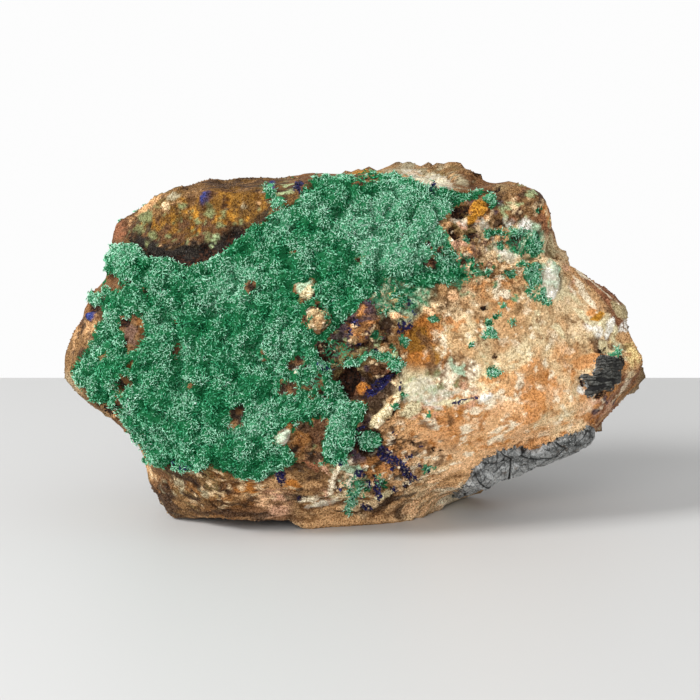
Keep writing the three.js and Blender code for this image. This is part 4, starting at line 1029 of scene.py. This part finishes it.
def lay_sulphides(rock):
    """The stack of plates at the right end and the seam under it."""
    corners = to_face(np.array([v.co for v in rock.data.vertices]) / MM)
    sides = [tuple(p.vertices) for p in rock.data.polygons]
    tree = BVHTree.FromPolygons([Vector(p) for p in corners], sides)
    plates = patch("sulphide_plates", tree, PLATE_OUTLINE, ragged=0.5, centre=(50.4, 31.2, 0),
                   angles=(30, 4, -4), half_size=(8.5, 8.5), step=0.1, depth=1.2, height=layered)
    plates.data.materials.append(sulphide_material("plates", (26, 26, 24), (104, 104, 98), 0.6, 0.8))
    seam = patch("sulphide_seam", tree, SEAM_OUTLINE, ragged=0.1, centre=(36, 11.5, -6),
                 angles=(24, -46, 24), half_size=(22, 12), step=0.15, depth=1.4, height=cleaved)
    seam.data.materials.append(sulphide_material("seam", (74, 76, 75), (216, 218, 217), 0.5, 0.4))


# ---------------------------------------------------------------- materials

class Nodes:
    """Builds one material's nodes with short calls."""

    def __init__(self, name):
        self.material = bpy.data.materials.new(name)
        self.material.use_nodes = True
        self.tree = self.material.node_tree
        self.surface = self.tree.nodes["Principled BSDF"]
        self.place = self.add("ShaderNodeTexCoord").outputs["Object"]

    def add(self, kind, **settings):
        node = self.tree.nodes.new(kind)
        for name, value in settings.items():
            setattr(node, name, value)
        return node

    def put(self, socket, value):
        """Links or sets a socket, whichever the value calls for."""
        if isinstance(value, bpy.types.NodeSocket):
            self.tree.links.new(value, socket)
        else:
            socket.default_value = value

    def math(self, operation, a, b=0.0):
        node = self.add("ShaderNodeMath", operation=operation)
        self.put(node.inputs[0], a)
        self.put(node.inputs[1], b)
        return node.outputs[0]

    def times(self, a, b):
        return self.math("MULTIPLY", a, b)

    def noise(self, size_mm, detail=2.0, roughness=0.5, shift=0.0, distortion=0.0):
        """Noise from 0 to 1 whose lumps are about that size."""
        place = self.place
        if shift:
            moved = self.add("ShaderNodeVectorMath", operation="ADD")
            self.put(moved.inputs[0], place)
            moved.inputs[1].default_value = (shift, shift * 0.7, -shift)
            place = moved.outputs[0]
        node = self.add("ShaderNodeTexNoise")
        self.put(node.inputs["Vector"], place)
        node.inputs["Scale"].default_value = 1 / (size_mm * MM)
        node.inputs["Detail"].default_value = detail
        node.inputs["Roughness"].default_value = roughness
        node.inputs["Distortion"].default_value = distortion
        return node.outputs["Fac"]

    def cells(self, size_mm, output="Distance"):
        """Scattered cells about that far apart."""
        node = self.add("ShaderNodeTexVoronoi")
        self.put(node.inputs["Vector"], self.place)
        node.inputs["Scale"].default_value = 1 / (size_mm * MM)
        return node.outputs[output]

    def field(self, name, output="Fac"):
        """One of the numbers or colours that the mesh's points carry."""
        return self.add("ShaderNodeAttribute", attribute_name=name).outputs[output]

    def ramp(self, value, low, high, to_low=0.0, to_high=1.0):
        """A smooth change from one number to another as the value goes from low to high."""
        node = self.add("ShaderNodeMapRange", interpolation_type="SMOOTHSTEP")
        self.put(node.inputs["Value"], value)
        node.inputs["From Min"].default_value = low
        node.inputs["From Max"].default_value = high
        node.inputs["To Min"].default_value = to_low
        node.inputs["To Max"].default_value = to_high
        return node.outputs["Result"]

    def mix(self, share, a, b, blend="MIX"):
        """The first colour with its share of the second one mixed in."""
        node = self.add("ShaderNodeMix", data_type="RGBA", blend_type=blend)
        self.put(node.inputs[0], share)
        self.put(node.inputs[6], a)
        self.put(node.inputs[7], b)
        return node.outputs[2]

    def tinted(self, colour, red, green, blue):
        """The colour with each of its three parts multiplied."""
        return self.mix(1.0, colour, (red, green, blue, 1.0), "MULTIPLY")

    def bump(self, height, strength, distance_mm, under=None):
        """A way to face that makes the surface look uneven, on top of another one."""
        node = self.add("ShaderNodeBump")
        node.inputs["Strength"].default_value = strength
        node.inputs["Distance"].default_value = distance_mm * MM
        self.put(node.inputs["Height"], height)
        if under:
            self.put(node.inputs["Normal"], under)
        return node.outputs["Normal"]


def srgb(red, green, blue):
    """A colour for a socket, from plain sRGB."""
    return (*linear((red, green, blue)), 1.0)


# How strongly needles follow the crust's tone.
TONE_SHARE = 1.5
# How much of the busy stone's contrast and grit its calm parts keep.
CALM_CONTRAST = 0.75
CALM_GRIT = 0.55
# How far the painted edges of the minerals wander, and the size of the finest grit.
CRUST_EDGE_NOISE = 3.4
FINE_EDGE_NOISE = 2.2
GRIT_MM = 0.3


def paint_stone(m):
    """The bare stone: its own colour with stains, threads, single grains and grit, and painted shade
    darkening its hollows.
    """
    ground = m.field("ground", "Color")
    calm = m.field("calm")
    behind = m.field("behind")
    light = m.mix(0.03, m.tinted(ground, 1.42, 1.46, 1.56), srgb(252, 240, 214))
    stained = m.tinted(ground, 0.84, 0.6, 0.36)
    dim = m.tinted(ground, 0.34, 0.275, 0.2)

    stain = m.ramp(m.noise(3.4, 7, 0.66, shift=0.7), 0.5, 0.58)
    pale = m.ramp(m.noise(2.4, 7, 0.72, shift=0.9), 0.52, 0.6)
    blotchy = m.ramp(calm, 0.0, 1.0, 0.3, 0.08)
    ground = m.mix(m.times(stain, blotchy), ground, stained)
    ground = m.mix(m.times(pale, blotchy), ground, light)

    waves = m.noise(1.0, 2, 0.5, shift=2.9, distortion=1.0)
    across_thread = m.math("ABSOLUTE", m.math("SUBTRACT", waves, 0.5))
    thread = m.times(m.ramp(across_thread, 0.07, 0.025), m.ramp(calm, 0.0, 1.0, 0.2, 0.9))
    ground = m.mix(thread, ground, light)

    blotch = m.ramp(m.noise(6.5, 8, 0.75, shift=1.3), 0.44, 0.6)
    crevice = m.ramp(m.noise(2.0, 7, 0.75, shift=1.7), 0.56, 0.68)
    ground = m.mix(m.times(blotch, m.times(behind, 0.3)), ground, stained)
    ground = m.mix(m.times(crevice, m.times(behind, 0.55)), ground, dim)

    lively = m.ramp(calm, 0.0, 1.0, 1.0, CALM_CONTRAST)
    single = m.add("ShaderNodeSeparateColor")
    m.put(single.inputs[0], m.cells(0.45, "Color"))
    ground = m.mix(m.times(m.ramp(single.outputs[0], 0.55, 0.9, 0, 0.7), lively), ground, light)
    ground = m.mix(m.times(m.ramp(single.outputs[1], 0.6, 0.95, 0, 0.7), lively), ground, dim)
    fine = m.noise(0.5, 4, 0.75, shift=0.3)
    ground = m.mix(m.times(m.ramp(fine, 0.56, 0.64, 0, 0.5), lively), ground, dim)
    ground = m.mix(m.times(m.ramp(fine, 0.44, 0.36, 0, 0.45), lively), ground, light)

    grit = m.noise(GRIT_MM, 3, 0.8, shift=3.7)
    gritty = m.ramp(calm, 0.0, 1.0, 1.0, CALM_GRIT)
    ground = m.mix(m.times(m.ramp(grit, 0.5, 0.6), gritty), ground, dim)
    ground = m.mix(m.times(m.ramp(grit, 0.5, 0.4), gritty), ground, light)
    # Painted shade: the hollows of the relief are darkened towards the dim colour, less so on calm stone.
    hollow = m.ramp(m.field("cavity"), 0.2, 0.9, 0, 0.8)
    return m.mix(m.times(hollow, m.ramp(calm, 0.0, 1.0, 1.0, 0.35)), ground, dim)


def paint_rock(m):
    """Colours for the rock and for the grains that lie on it: both carry the same fields."""

    def edge(size_mm, detail, roughness, shift, width):
        """Noise that makes a mineral's edge wander, up to about that width."""
        return m.times(m.math("SUBTRACT", m.noise(size_mm, detail, roughness, shift=shift), 0.5), width)

    wide_edge = edge(0.9, 4, 0.65, 0.11, CRUST_EDGE_NOISE)
    fine_edge = edge(0.5, 3, 0.6, 0.21, FINE_EDGE_NOISE)

    def share(name, low=-0.12, high=0.12, edge_noise=wide_edge):
        return m.ramp(m.math("ADD", m.field(name), edge_noise), low, high)

    colour = paint_stone(m)
    quartz = m.mix(m.ramp(m.noise(0.6, 4, 0.7), 0.35, 0.65), srgb(158, 152, 130), srgb(248, 243, 228))
    colour = m.mix(m.times(share("quartz", -0.3, 0.5), 0.5), colour, quartz)
    dark = m.mix(m.ramp(m.noise(0.6, 3, 0.65), 0.4, 0.7), srgb(12, 6, 4), srgb(76, 46, 30))
    gaps = m.ramp(m.noise(0.8, 3, 0.65, shift=0.83), 0.34, 0.46)
    colour = m.mix(m.times(share("dark"), gaps), colour, dark)
    flecks = m.ramp(m.noise(0.55, 3, 0.6, shift=0.77), 0.5, 0.56)
    colour = m.mix(m.times(share("mottle"), flecks), colour, srgb(60, 128, 92))
    metal = m.mix(m.ramp(m.noise(0.7, 4, 0.7, shift=0.37), 0.4, 0.6), srgb(34, 34, 32), srgb(140, 142, 140))
    colour = m.mix(share("sulphide"), colour, metal)
    green = m.mix(m.noise(0.6, 3, 0.6), srgb(2, 46, 20), srgb(30, 122, 72))
    green = m.mix(m.ramp(m.field("tone"), 0.7, 1.0, 0, 0.8), green, srgb(74, 150, 108))
    colour = m.mix(share("crust"), colour, green)
    azurite = m.mix(m.noise(0.5, 2), srgb(12, 9, 32), srgb(42, 40, 92))
    broken_up = m.ramp(m.noise(0.7, 3, 0.6, shift=0.61), 0.36, 0.5)
    return m.mix(m.times(share("azurite", edge_noise=fine_edge), broken_up), colour, azurite)


def rock_material():
    """The painted rock, with rougher broken faces where it looks away from the face."""
    m = Nodes("rock")
    m.put(m.surface.inputs["Base Color"], paint_rock(m))
    m.put(m.surface.inputs["Roughness"], m.ramp(m.noise(0.7, 3, 0.6, shift=0.5), 0.3, 0.7, 0.5, 0.85))
    m.surface.inputs["Specular IOR Level"].default_value = 0.12
    rough = m.times(m.noise(2.8, 7, 0.72, shift=2.1), m.field("behind"))
    coarse = m.bump(m.noise(0.9, 5, 0.65), 0.9, 0.3, m.bump(rough, 1.0, 2.4))
    m.put(m.surface.inputs["Normal"], m.bump(m.cells(0.5), 0.6, 0.15, coarse))
    return m.material


def grain_material():
    """The rock's colours again, some grains lighter and some darker."""
    m = Nodes("grains")
    colour = paint_rock(m)
    shade = m.field("shade")
    light = m.mix(0.03, m.tinted(colour, 1.36, 1.41, 1.52), srgb(252, 238, 208))
    colour = m.mix(m.ramp(shade, 0.5, 1.0, 0, 0.8), colour, light)
    colour = m.mix(m.ramp(shade, 0.4, 0.0, 0, 0.7), colour, m.tinted(colour, 0.55, 0.42, 0.3))
    m.put(m.surface.inputs["Base Color"], colour)
    m.surface.inputs["Roughness"].default_value = 0.5
    m.surface.inputs["Specular IOR Level"].default_value = 0.3
    return m.material


def needle_material(name, root, body, tip, specular):
    """Deep green at the root, pale at the tip, and no two needles quite alike.

    Needles are paler where the crust is pale. Their dark roots are partly painted shade between the
    needles, and they are darkened in the crust's hollows and paled on its high points as painted shade and
    painted light."""
    m = Nodes(name)
    along = m.field("tip")
    place = m.times(m.math("SUBTRACT", m.field("tone"), 0.5), TONE_SHARE)
    own = m.times(m.field("shade"), 0.6)
    shade = m.math("ADD", m.math("ADD", own, place), m.ramp(m.noise(1.3, 3), 0.3, 0.7, -0.35, 0.35))
    # Painted light and shade: needles on the crust's high points are paler and those in its hollows deeper.
    shade = m.math("ADD", shade, m.ramp(m.field("cavity"), -0.8, 0.2, 0.4, -0.1))
    pale = m.mix(m.ramp(shade, -0.3, 0.95), srgb(*body), srgb(*tip))
    # The dark root is partly painted shade, for the shadow down between the needles.
    colour = m.mix(m.ramp(along, 0.0, 0.8), srgb(*root), pale)
    # Painted shade: needles in the crust's hollows are darkened towards the root colour.
    colour = m.mix(m.ramp(m.field("cavity"), 0.05, 0.8, 0, 0.75), colour, srgb(*root))
    m.put(m.surface.inputs["Base Color"], colour)
    m.surface.inputs["Roughness"].default_value = 0.5
    m.surface.inputs["Specular IOR Level"].default_value = specular
    return m.material


def azurite_material():
    """Glassy dark blue, and brighter in some crystals."""
    m = Nodes("azurite")
    blue = m.mix(m.ramp(m.field("shade"), 0.3, 1.0), srgb(13, 10, 34), srgb(48, 50, 112))
    m.put(m.surface.inputs["Base Color"], blue)
    m.surface.inputs["Roughness"].default_value = 0.25
    m.surface.inputs["Specular IOR Level"].default_value = 0.6
    return m.material


def sulphide_material(name, dark, light, roughness, bump):
    """Dull grey metal with brighter facets, fine nicks and painted glints, brown stains and black cracks.
    """
    m = Nodes(name)
    streak = m.ramp(m.noise(0.6, 4, 0.7, shift=0.4), 0.3, 0.7, 0.45, 1.0)
    patchy = m.times(m.ramp(m.noise(3.0, 5, 0.6), 0.36, 0.62), 0.6)
    facet = m.math("ADD", patchy, m.times(m.field("bright"), 0.5))
    colour = m.mix(m.times(facet, streak), srgb(*dark), srgb(*light))
    # Dark nicks, and light specks that are painted glints.
    nicks_and_painted_glints = m.noise(0.4, 4, 0.75, shift=1.9)
    colour = m.mix(m.ramp(nicks_and_painted_glints, 0.53, 0.62, 0, 0.85), colour, srgb(*dark))
    colour = m.mix(m.ramp(nicks_and_painted_glints, 0.47, 0.38, 0, 0.5), colour, srgb(*light))
    stain = m.ramp(m.noise(2.2, 4, 0.65, shift=0.9), 0.6, 0.7, 0, 0.5)
    colour = m.mix(stain, colour, srgb(96, 72, 46))
    m.put(m.surface.inputs["Base Color"], m.mix(m.field("crack"), colour, srgb(12, 11, 10)))
    m.surface.inputs["Metallic"].default_value = 0.3
    m.surface.inputs["Roughness"].default_value = roughness
    m.put(m.surface.inputs["Normal"], m.bump(m.noise(0.5, 5, 0.7), bump, 0.1))
    return m.material


# ---------------------------------------------------------------- small things strewn on the rock

# How many kinds there are of each small thing, and the headings they turn through.
KINDS = 8
FULL_TURN = 6.28


def prototype(name, shapes):
    """A hidden object of several closed shapes: each has points, faces and each point's place along it."""
    mesh = bpy.data.meshes.new(name)
    points, faces, along = [], [], []
    for shape_points, shape_faces, shape_along in shapes:
        faces += [[corner + len(points) for corner in face] for face in shape_faces]
        points += [tuple(np.array(p) * MM) for p in shape_points]
        along += list(shape_along)
    mesh.from_pydata(points, [], faces)
    mesh.attributes.new("tip", "FLOAT", "POINT").data.foreach_set("value", np.array(along, np.float32))
    return bpy.data.objects.new(name, mesh)


def needle(length, width, lean, heading, bend, start, rings=2, curl=0.0):
    """One three-sided needle, bent outwards and curled round, from its root to its point."""
    points, along = [], []
    place = np.array(start, float)
    for ring in range(rings + 1):
        tilt = lean + bend * ring / rings
        turn_to = heading + curl * ring / rings
        reach = np.array([math.cos(turn_to), math.sin(turn_to), 0.0])
        side = np.array([-math.sin(turn_to), math.cos(turn_to), 0.0])
        way = math.sin(tilt) * reach + np.array([0, 0, math.cos(tilt)])
        across = np.cross(way, side)
        if ring == rings:
            points.append(place)
        else:
            half = 0.5 * width * (1 - 0.35 * ring / rings)
            for corner in range(3):
                turn = math.tau * corner / 3
                points.append(place + half * (math.cos(turn) * across + math.sin(turn) * side))
        along += [ring / rings] * (1 if ring == rings else 3)
        place = place + way * length / rings
    faces = [[2, 1, 0]]
    for ring in range(rings - 1):
        for corner in range(3):
            a, b = 3 * ring + corner, 3 * ring + (corner + 1) % 3
            faces += [[a, b, b + 3], [a, b + 3, a + 3]]
    last = 3 * (rings - 1)
    faces += [[last + corner, last + (corner + 1) % 3, 3 * rings] for corner in range(3)]
    return points, faces, along


def crystal(length, width, thickness, lean, heading):
    """One flat six-cornered blade with a pointed end."""
    points, along = [], []
    turn = Matrix.Rotation(heading, 3, "Z") @ Matrix.Rotation(lean, 3, "Y")
    for height, size in ((-0.2 * length, 0.8), (0.7 * length, 1.0), (length, 0.35)):
        for x, y in ((1, 0), (0.4, 1), (-0.4, 1), (-1, 0), (-0.4, -1), (0.4, -1)):
            points.append(turn @ Vector((0.5 * width * size * x, 0.5 * thickness * size * y, height)))
        along += [height / length] * 6
    faces = [[5, 4, 3, 2, 1, 0], [12, 13, 14, 15, 16, 17]]
    for ring in (0, 6):
        for corner in range(6):
            a, b = ring + corner, ring + (corner + 1) % 6
            faces.append([a, b, b + 6, a + 6])
    return points, faces, along


def pebble(rng):
    """One small uneven grain, 1 mm across."""
    seed = bmesh.new()
    bmesh.ops.create_icosphere(seed, subdivisions=1, radius=0.5)
    stretch = rng.uniform(0.7, 1.25, 3)
    points = [np.array(v.co) * stretch * rng.uniform(0.75, 1.15) for v in seed.verts]
    faces = [[v.index for v in face.verts] for face in seed.faces]
    seed.free()
    return points, faces, [0.5 + 0.5 * p[2] for p in points]


def strewing_tree():
    """Geometry nodes that strew copies of small pieces where a field of the mesh is high enough."""
    tree = bpy.data.node_groups.new("strew", "GeometryNodeTree")
    face = tree.interface
    face.new_socket("Geometry", in_out="INPUT", socket_type="NodeSocketGeometry")
    face.new_socket("Field", in_out="INPUT", socket_type="NodeSocketString")
    face.new_socket("Plenty", in_out="INPUT", socket_type="NodeSocketString")
    for name in ("Lowest", "Spacing", "Smallest", "Largest", "Lean"):
        face.new_socket(name, in_out="INPUT", socket_type="NodeSocketFloat")
    face.new_socket("Seed", in_out="INPUT", socket_type="NodeSocketInt")
    face.new_socket("Pieces", in_out="INPUT", socket_type="NodeSocketCollection")
    face.new_socket("Material", in_out="INPUT", socket_type="NodeSocketMaterial")
    face.new_socket("Geometry", in_out="OUTPUT", socket_type="NodeSocketGeometry")

    def add(kind, **settings):
        node = tree.nodes.new(kind)
        for name, value in settings.items():
            setattr(node, name, value)
        return node

    def usable(sockets, name):
        return next(s for s in sockets if s.name == name and s.enabled)

    def link(output, input_socket):
        tree.links.new(output, input_socket)

    def random(kind, low, high, step):
        node = add("FunctionNodeRandomValue", data_type=kind)
        for name, value in (("Min", low), ("Max", high)):
            socket = usable(node.inputs, name)
            if isinstance(value, bpy.types.NodeSocket):
                link(value, socket)
            else:
                socket.default_value = value
        offset = add("ShaderNodeMath", operation="ADD")
        link(given["Seed"], offset.inputs[0])
        offset.inputs[1].default_value = step
        link(offset.outputs[0], node.inputs["Seed"])
        return usable(node.outputs, "Value")

    given = add("NodeGroupInput").outputs
    field = add("GeometryNodeInputNamedAttribute", data_type="FLOAT")
    link(given["Field"], field.inputs["Name"])
    above = add("FunctionNodeCompare", data_type="FLOAT", operation="GREATER_THAN")
    link(usable(field.outputs, "Attribute"), above.inputs[0])
    link(given["Lowest"], above.inputs[1])
    square = add("ShaderNodeMath", operation="POWER")
    link(given["Spacing"], square.inputs[0])
    square.inputs[1].default_value = -2.0
    spread = add("GeometryNodeDistributePointsOnFaces", distribute_method="POISSON")
    link(given["Geometry"], spread.inputs["Mesh"])
    link(above.outputs[0], spread.inputs["Selection"])
    link(given["Spacing"], spread.inputs["Distance Min"])
    link(square.outputs[0], spread.inputs["Density Max"])
    link(given["Seed"], spread.inputs["Seed"])
    plenty = add("GeometryNodeInputNamedAttribute", data_type="FLOAT")
    link(given["Plenty"], plenty.inputs["Name"])
    link(usable(plenty.outputs, "Attribute"), spread.inputs["Density Factor"])
    lean = add("ShaderNodeMath", operation="MULTIPLY")
    link(given["Lean"], lean.inputs[0])
    lean.inputs[1].default_value = -1.0
    turn = add("ShaderNodeCombineXYZ")
    link(random("FLOAT", lean.outputs[0], given["Lean"], 1), turn.inputs["X"])
    link(random("FLOAT", lean.outputs[0], given["Lean"], 2), turn.inputs["Y"])
    link(random("FLOAT", 0.0, math.tau, 3), turn.inputs["Z"])
    to_turn = add("FunctionNodeEulerToRotation")
    link(turn.outputs[0], to_turn.inputs[0])
    turned = add("FunctionNodeRotateRotation", rotation_space="LOCAL")
    link(spread.outputs["Rotation"], turned.inputs["Rotation"])
    link(to_turn.outputs[0], turned.inputs["Rotate By"])
    pieces = add("GeometryNodeCollectionInfo", transform_space="ORIGINAL")
    link(given["Pieces"], pieces.inputs["Collection"])
    pieces.inputs["Separate Children"].default_value = True
    pieces.inputs["Reset Children"].default_value = True
    copies = add("GeometryNodeInstanceOnPoints")
    link(spread.outputs["Points"], copies.inputs["Points"])
    link(pieces.outputs[0], copies.inputs["Instance"])
    copies.inputs["Pick Instance"].default_value = True
    link(random("INT", 0, KINDS - 1, 4), copies.inputs["Instance Index"])
    link(turned.outputs[0], copies.inputs["Rotation"])
    link(random("FLOAT", given["Smallest"], given["Largest"], 5), copies.inputs["Scale"])
    shade = add("GeometryNodeStoreNamedAttribute", data_type="FLOAT", domain="INSTANCE")
    link(copies.outputs[0], shade.inputs["Geometry"])
    shade.inputs["Name"].default_value = "shade"
    link(random("FLOAT", 0.0, 1.0, 6), usable(shade.inputs, "Value"))
    real = add("GeometryNodeRealizeInstances")
    link(shade.outputs[0], real.inputs[0])
    dress = add("GeometryNodeSetMaterial")
    link(real.outputs[0], dress.inputs["Geometry"])
    link(given["Material"], dress.inputs["Material"])
    link(dress.outputs[0], add("NodeGroupOutput").inputs[0])
    return tree


def strew(tree, name, rock, prototypes, material, **settings):
    """Strews the prototypes over the rock and leaves one plain mesh of them."""
    shelf = bpy.data.collections.new(name + "_kinds")
    for kind in prototypes:
        shelf.objects.link(kind)
    host = bpy.data.objects.new(name + "_host", rock.data)
    bpy.context.scene.collection.objects.link(host)
    modifier = host.modifiers.new("strew", "NODES")
    modifier.node_group = tree
    keys = {item.name: item.identifier for item in tree.interface.items_tree if item.in_out == "INPUT"}
    for key, value in dict(settings, Pieces=shelf, Material=material).items():
        modifier[keys[key]] = value
    view = bpy.context.evaluated_depsgraph_get()
    mesh = bpy.data.meshes.new_from_object(host.evaluated_get(view), depsgraph=view)
    bpy.data.objects.remove(host)
    for kind in prototypes:
        bpy.data.objects.remove(kind)
    bpy.data.collections.remove(shelf)
    mesh.name = name
    strewn = bpy.data.objects.new(name, mesh)
    bpy.context.scene.collection.objects.link(strewn)
    finish(strewn)


def finish(piece):
    """Fixes a piece to the lump."""
    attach(piece, BODY)


def kinds_of(name, count, make_shape):
    """The kinds of one small thing, each of several shapes."""
    return [prototype(f"{name}_{n}", [make_shape() for _ in range(count)]) for n in range(KINDS)]


def velvet_kinds(rng):
    """Short straight spikes that lean every way."""
    def spike():
        return needle(
            length=rng.uniform(0.45, 0.75), width=rng.uniform(0.16, 0.24), lean=rng.uniform(0.5, 1.2),
            heading=rng.uniform(0, FULL_TURN), bend=rng.uniform(0, 0.5),
            start=(*rng.uniform(-0.16, 0.16, 2), -0.12), rings=1,
        )

    return kinds_of("velvet", 4, spike)


def felt_kinds(rng, thinnest, thickest):
    """Fine curled threads lying loosely on the crust."""
    def thread():
        return needle(
            length=rng.uniform(0.5, 1.0), width=rng.uniform(thinnest, thickest), lean=rng.uniform(1.1, 1.5),
            heading=rng.uniform(0, FULL_TURN), bend=rng.uniform(-0.3, 0.5),
            start=(*rng.uniform(-0.35, 0.35, 2), rng.uniform(0.05, 0.3)), curl=rng.uniform(-1.6, 1.6),
        )

    return kinds_of("felt", 4, thread)


def spray_kinds(rng):
    """Longer needles that spread from one root."""
    def spike():
        return needle(
            length=rng.uniform(0.7, 1.25), width=rng.uniform(0.17, 0.26), lean=rng.uniform(0.6, 1.2),
            heading=rng.uniform(0, FULL_TURN), bend=rng.uniform(0.3, 1.0),
            start=(*rng.uniform(-0.2, 0.2, 2), -0.1),
        )

    return kinds_of("spray", 4, spike)


def azurite_kinds(rng):
    """Pairs of short blades."""
    def blade():
        return crystal(
            length=rng.uniform(0.4, 0.7), width=rng.uniform(0.25, 0.5), thickness=rng.uniform(0.12, 0.25),
            lean=rng.uniform(0.1, 1.0), heading=rng.uniform(0, FULL_TURN),
        )

    return kinds_of("azurite", 2, blade)


def grain_kinds(rng):
    """Single grains of quartz and rock."""
    return kinds_of("grain", 1, lambda: pebble(rng))


def strew_minerals(rock):
    """The crust's velvet, felts and needles, the azurite crystals and the loose grains."""
    tree = strewing_tree()
    rng = np.random.default_rng(5)
    velvet = needle_material("malachite velvet", (0, 44, 17), (10, 124, 68), (104, 208, 154), 0.12)
    felt = needle_material("malachite felt", (2, 90, 44), (80, 188, 136), (182, 238, 208), 0.12)
    pale_felt = needle_material(
        "malachite pale felt", (30, 134, 86), (114, 202, 158), (196, 238, 214), 0.18)
    strew(tree, "malachite_velvet", rock, velvet_kinds(rng), velvet, Field="crust", Lowest=0.05,
          Plenty="everywhere", Spacing=0.56 * MM, Smallest=0.8, Largest=1.25, Lean=0.35, Seed=1)
    strew(tree, "malachite_felt", rock, felt_kinds(rng, 0.19, 0.26), felt, Field="crust", Lowest=0.1,
          Plenty="everywhere", Spacing=0.63 * MM, Smallest=0.75, Largest=1.15, Lean=0.2, Seed=6)
    strew(tree, "malachite_pale_felt", rock, felt_kinds(rng, 0.17, 0.24), pale_felt, Field="crust",
          Lowest=0.1, Plenty="felted", Spacing=0.5 * MM, Smallest=0.7, Largest=1.1, Lean=0.2, Seed=7)
    # The sparse needles' near-white tips are partly painted highlight, standing for the glints of the
    # crust.
    needles = needle_material("malachite needles", (40, 128, 88), (120, 200, 160), (222, 246, 234), 0.4)
    strew(tree, "malachite_needles", rock, spray_kinds(rng), needles, Field="crust", Lowest=0.15,
          Plenty="felted", Spacing=1.3 * MM, Smallest=0.6, Largest=1.0, Lean=0.3, Seed=2)
    strew(tree, "azurite_crystals", rock, azurite_kinds(rng), azurite_material(), Field="azurite",
          Lowest=-0.05, Plenty="everywhere", Spacing=0.5 * MM, Smallest=0.5, Largest=1.1, Lean=0.4, Seed=3)
    strew(tree, "quartz_grains", rock, grain_kinds(rng), grain_material(), Field="granular", Lowest=0.25,
          Plenty="grainy", Spacing=0.72 * MM, Smallest=0.2, Largest=0.6, Lean=3.1, Seed=4)


# ---------------------------------------------------------------- stage

# In metres: the floor's far edge behind the lump, and how far it reaches the other ways.
FLOOR_BACK = 0.143
FLOOR_HALF = 1.2
# The light from all round, and how bright the wall behind looks.
SOFT_LIGHT = 0.66
WALL_LIGHT = 0.98
# Each lamp's place, what it is aimed at, its width and its power.
LAMPS = {
    "key": ((-0.64, -0.30, 0.60), (0, 0, 0.03), 0.3, 7.3),
    "front": ((-0.30, -1.00, 0.42), (0, 0, 0.03), 0.5, 5.5),
}


def make_floor():
    """A plain pale tabletop."""
    mesh = bpy.data.meshes.new("floor")
    corners = [(-FLOOR_HALF, -FLOOR_HALF, 0), (FLOOR_HALF, -FLOOR_HALF, 0), (FLOOR_HALF, FLOOR_BACK, 0)]
    mesh.from_pydata(corners + [(-FLOOR_HALF, FLOOR_BACK, 0)], [], [(0, 1, 2, 3)])
    floor = bpy.data.objects.new("floor", mesh)
    bpy.context.scene.collection.objects.link(floor)
    m = Nodes("floor")
    m.surface.inputs["Base Color"].default_value = srgb(197, 197, 196)
    m.surface.inputs["Roughness"].default_value = 0.5
    mesh.materials.append(m.material)


def make_light():
    """Two soft lamps at the left and in front, an even light all round and a pale wall."""
    world = bpy.data.worlds.new("studio")
    bpy.context.scene.world = world
    world.use_nodes = True
    nodes = world.node_tree.nodes
    soft = nodes["Background"]
    soft.inputs["Color"].default_value = (1, 1, 1, 1)
    soft.inputs["Strength"].default_value = SOFT_LIGHT
    wall = nodes.new("ShaderNodeBackground")
    wall.inputs["Color"].default_value = (1, 1, 1, 1)
    wall.inputs["Strength"].default_value = WALL_LIGHT
    sight = nodes.new("ShaderNodeLightPath")
    either = nodes.new("ShaderNodeMixShader")
    links = world.node_tree.links
    links.new(sight.outputs["Is Camera Ray"], either.inputs[0])
    links.new(soft.outputs[0], either.inputs[1])
    links.new(wall.outputs[0], either.inputs[2])
    links.new(either.outputs[0], nodes["World Output"].inputs["Surface"])
    for name, (place, aim, size, energy) in LAMPS.items():
        data = bpy.data.lights.new(name, "AREA")
        data.energy = energy
        data.size = size
        lamp = bpy.data.objects.new(name, data)
        bpy.context.scene.collection.objects.link(lamp)
        lamp.location = place
        lamp.rotation_euler = (Vector(aim) - lamp.location).to_track_quat("-Z", "Y").to_euler()
    bpy.context.scene.view_settings.view_transform = "Standard"


make_camera()
make_floor()
make_light()
rock = make_rock()
rock.data.materials.append(rock_material())
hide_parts(NODE)
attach(rock, BODY)
strew_minerals(rock)
lay_sulphides(rock)
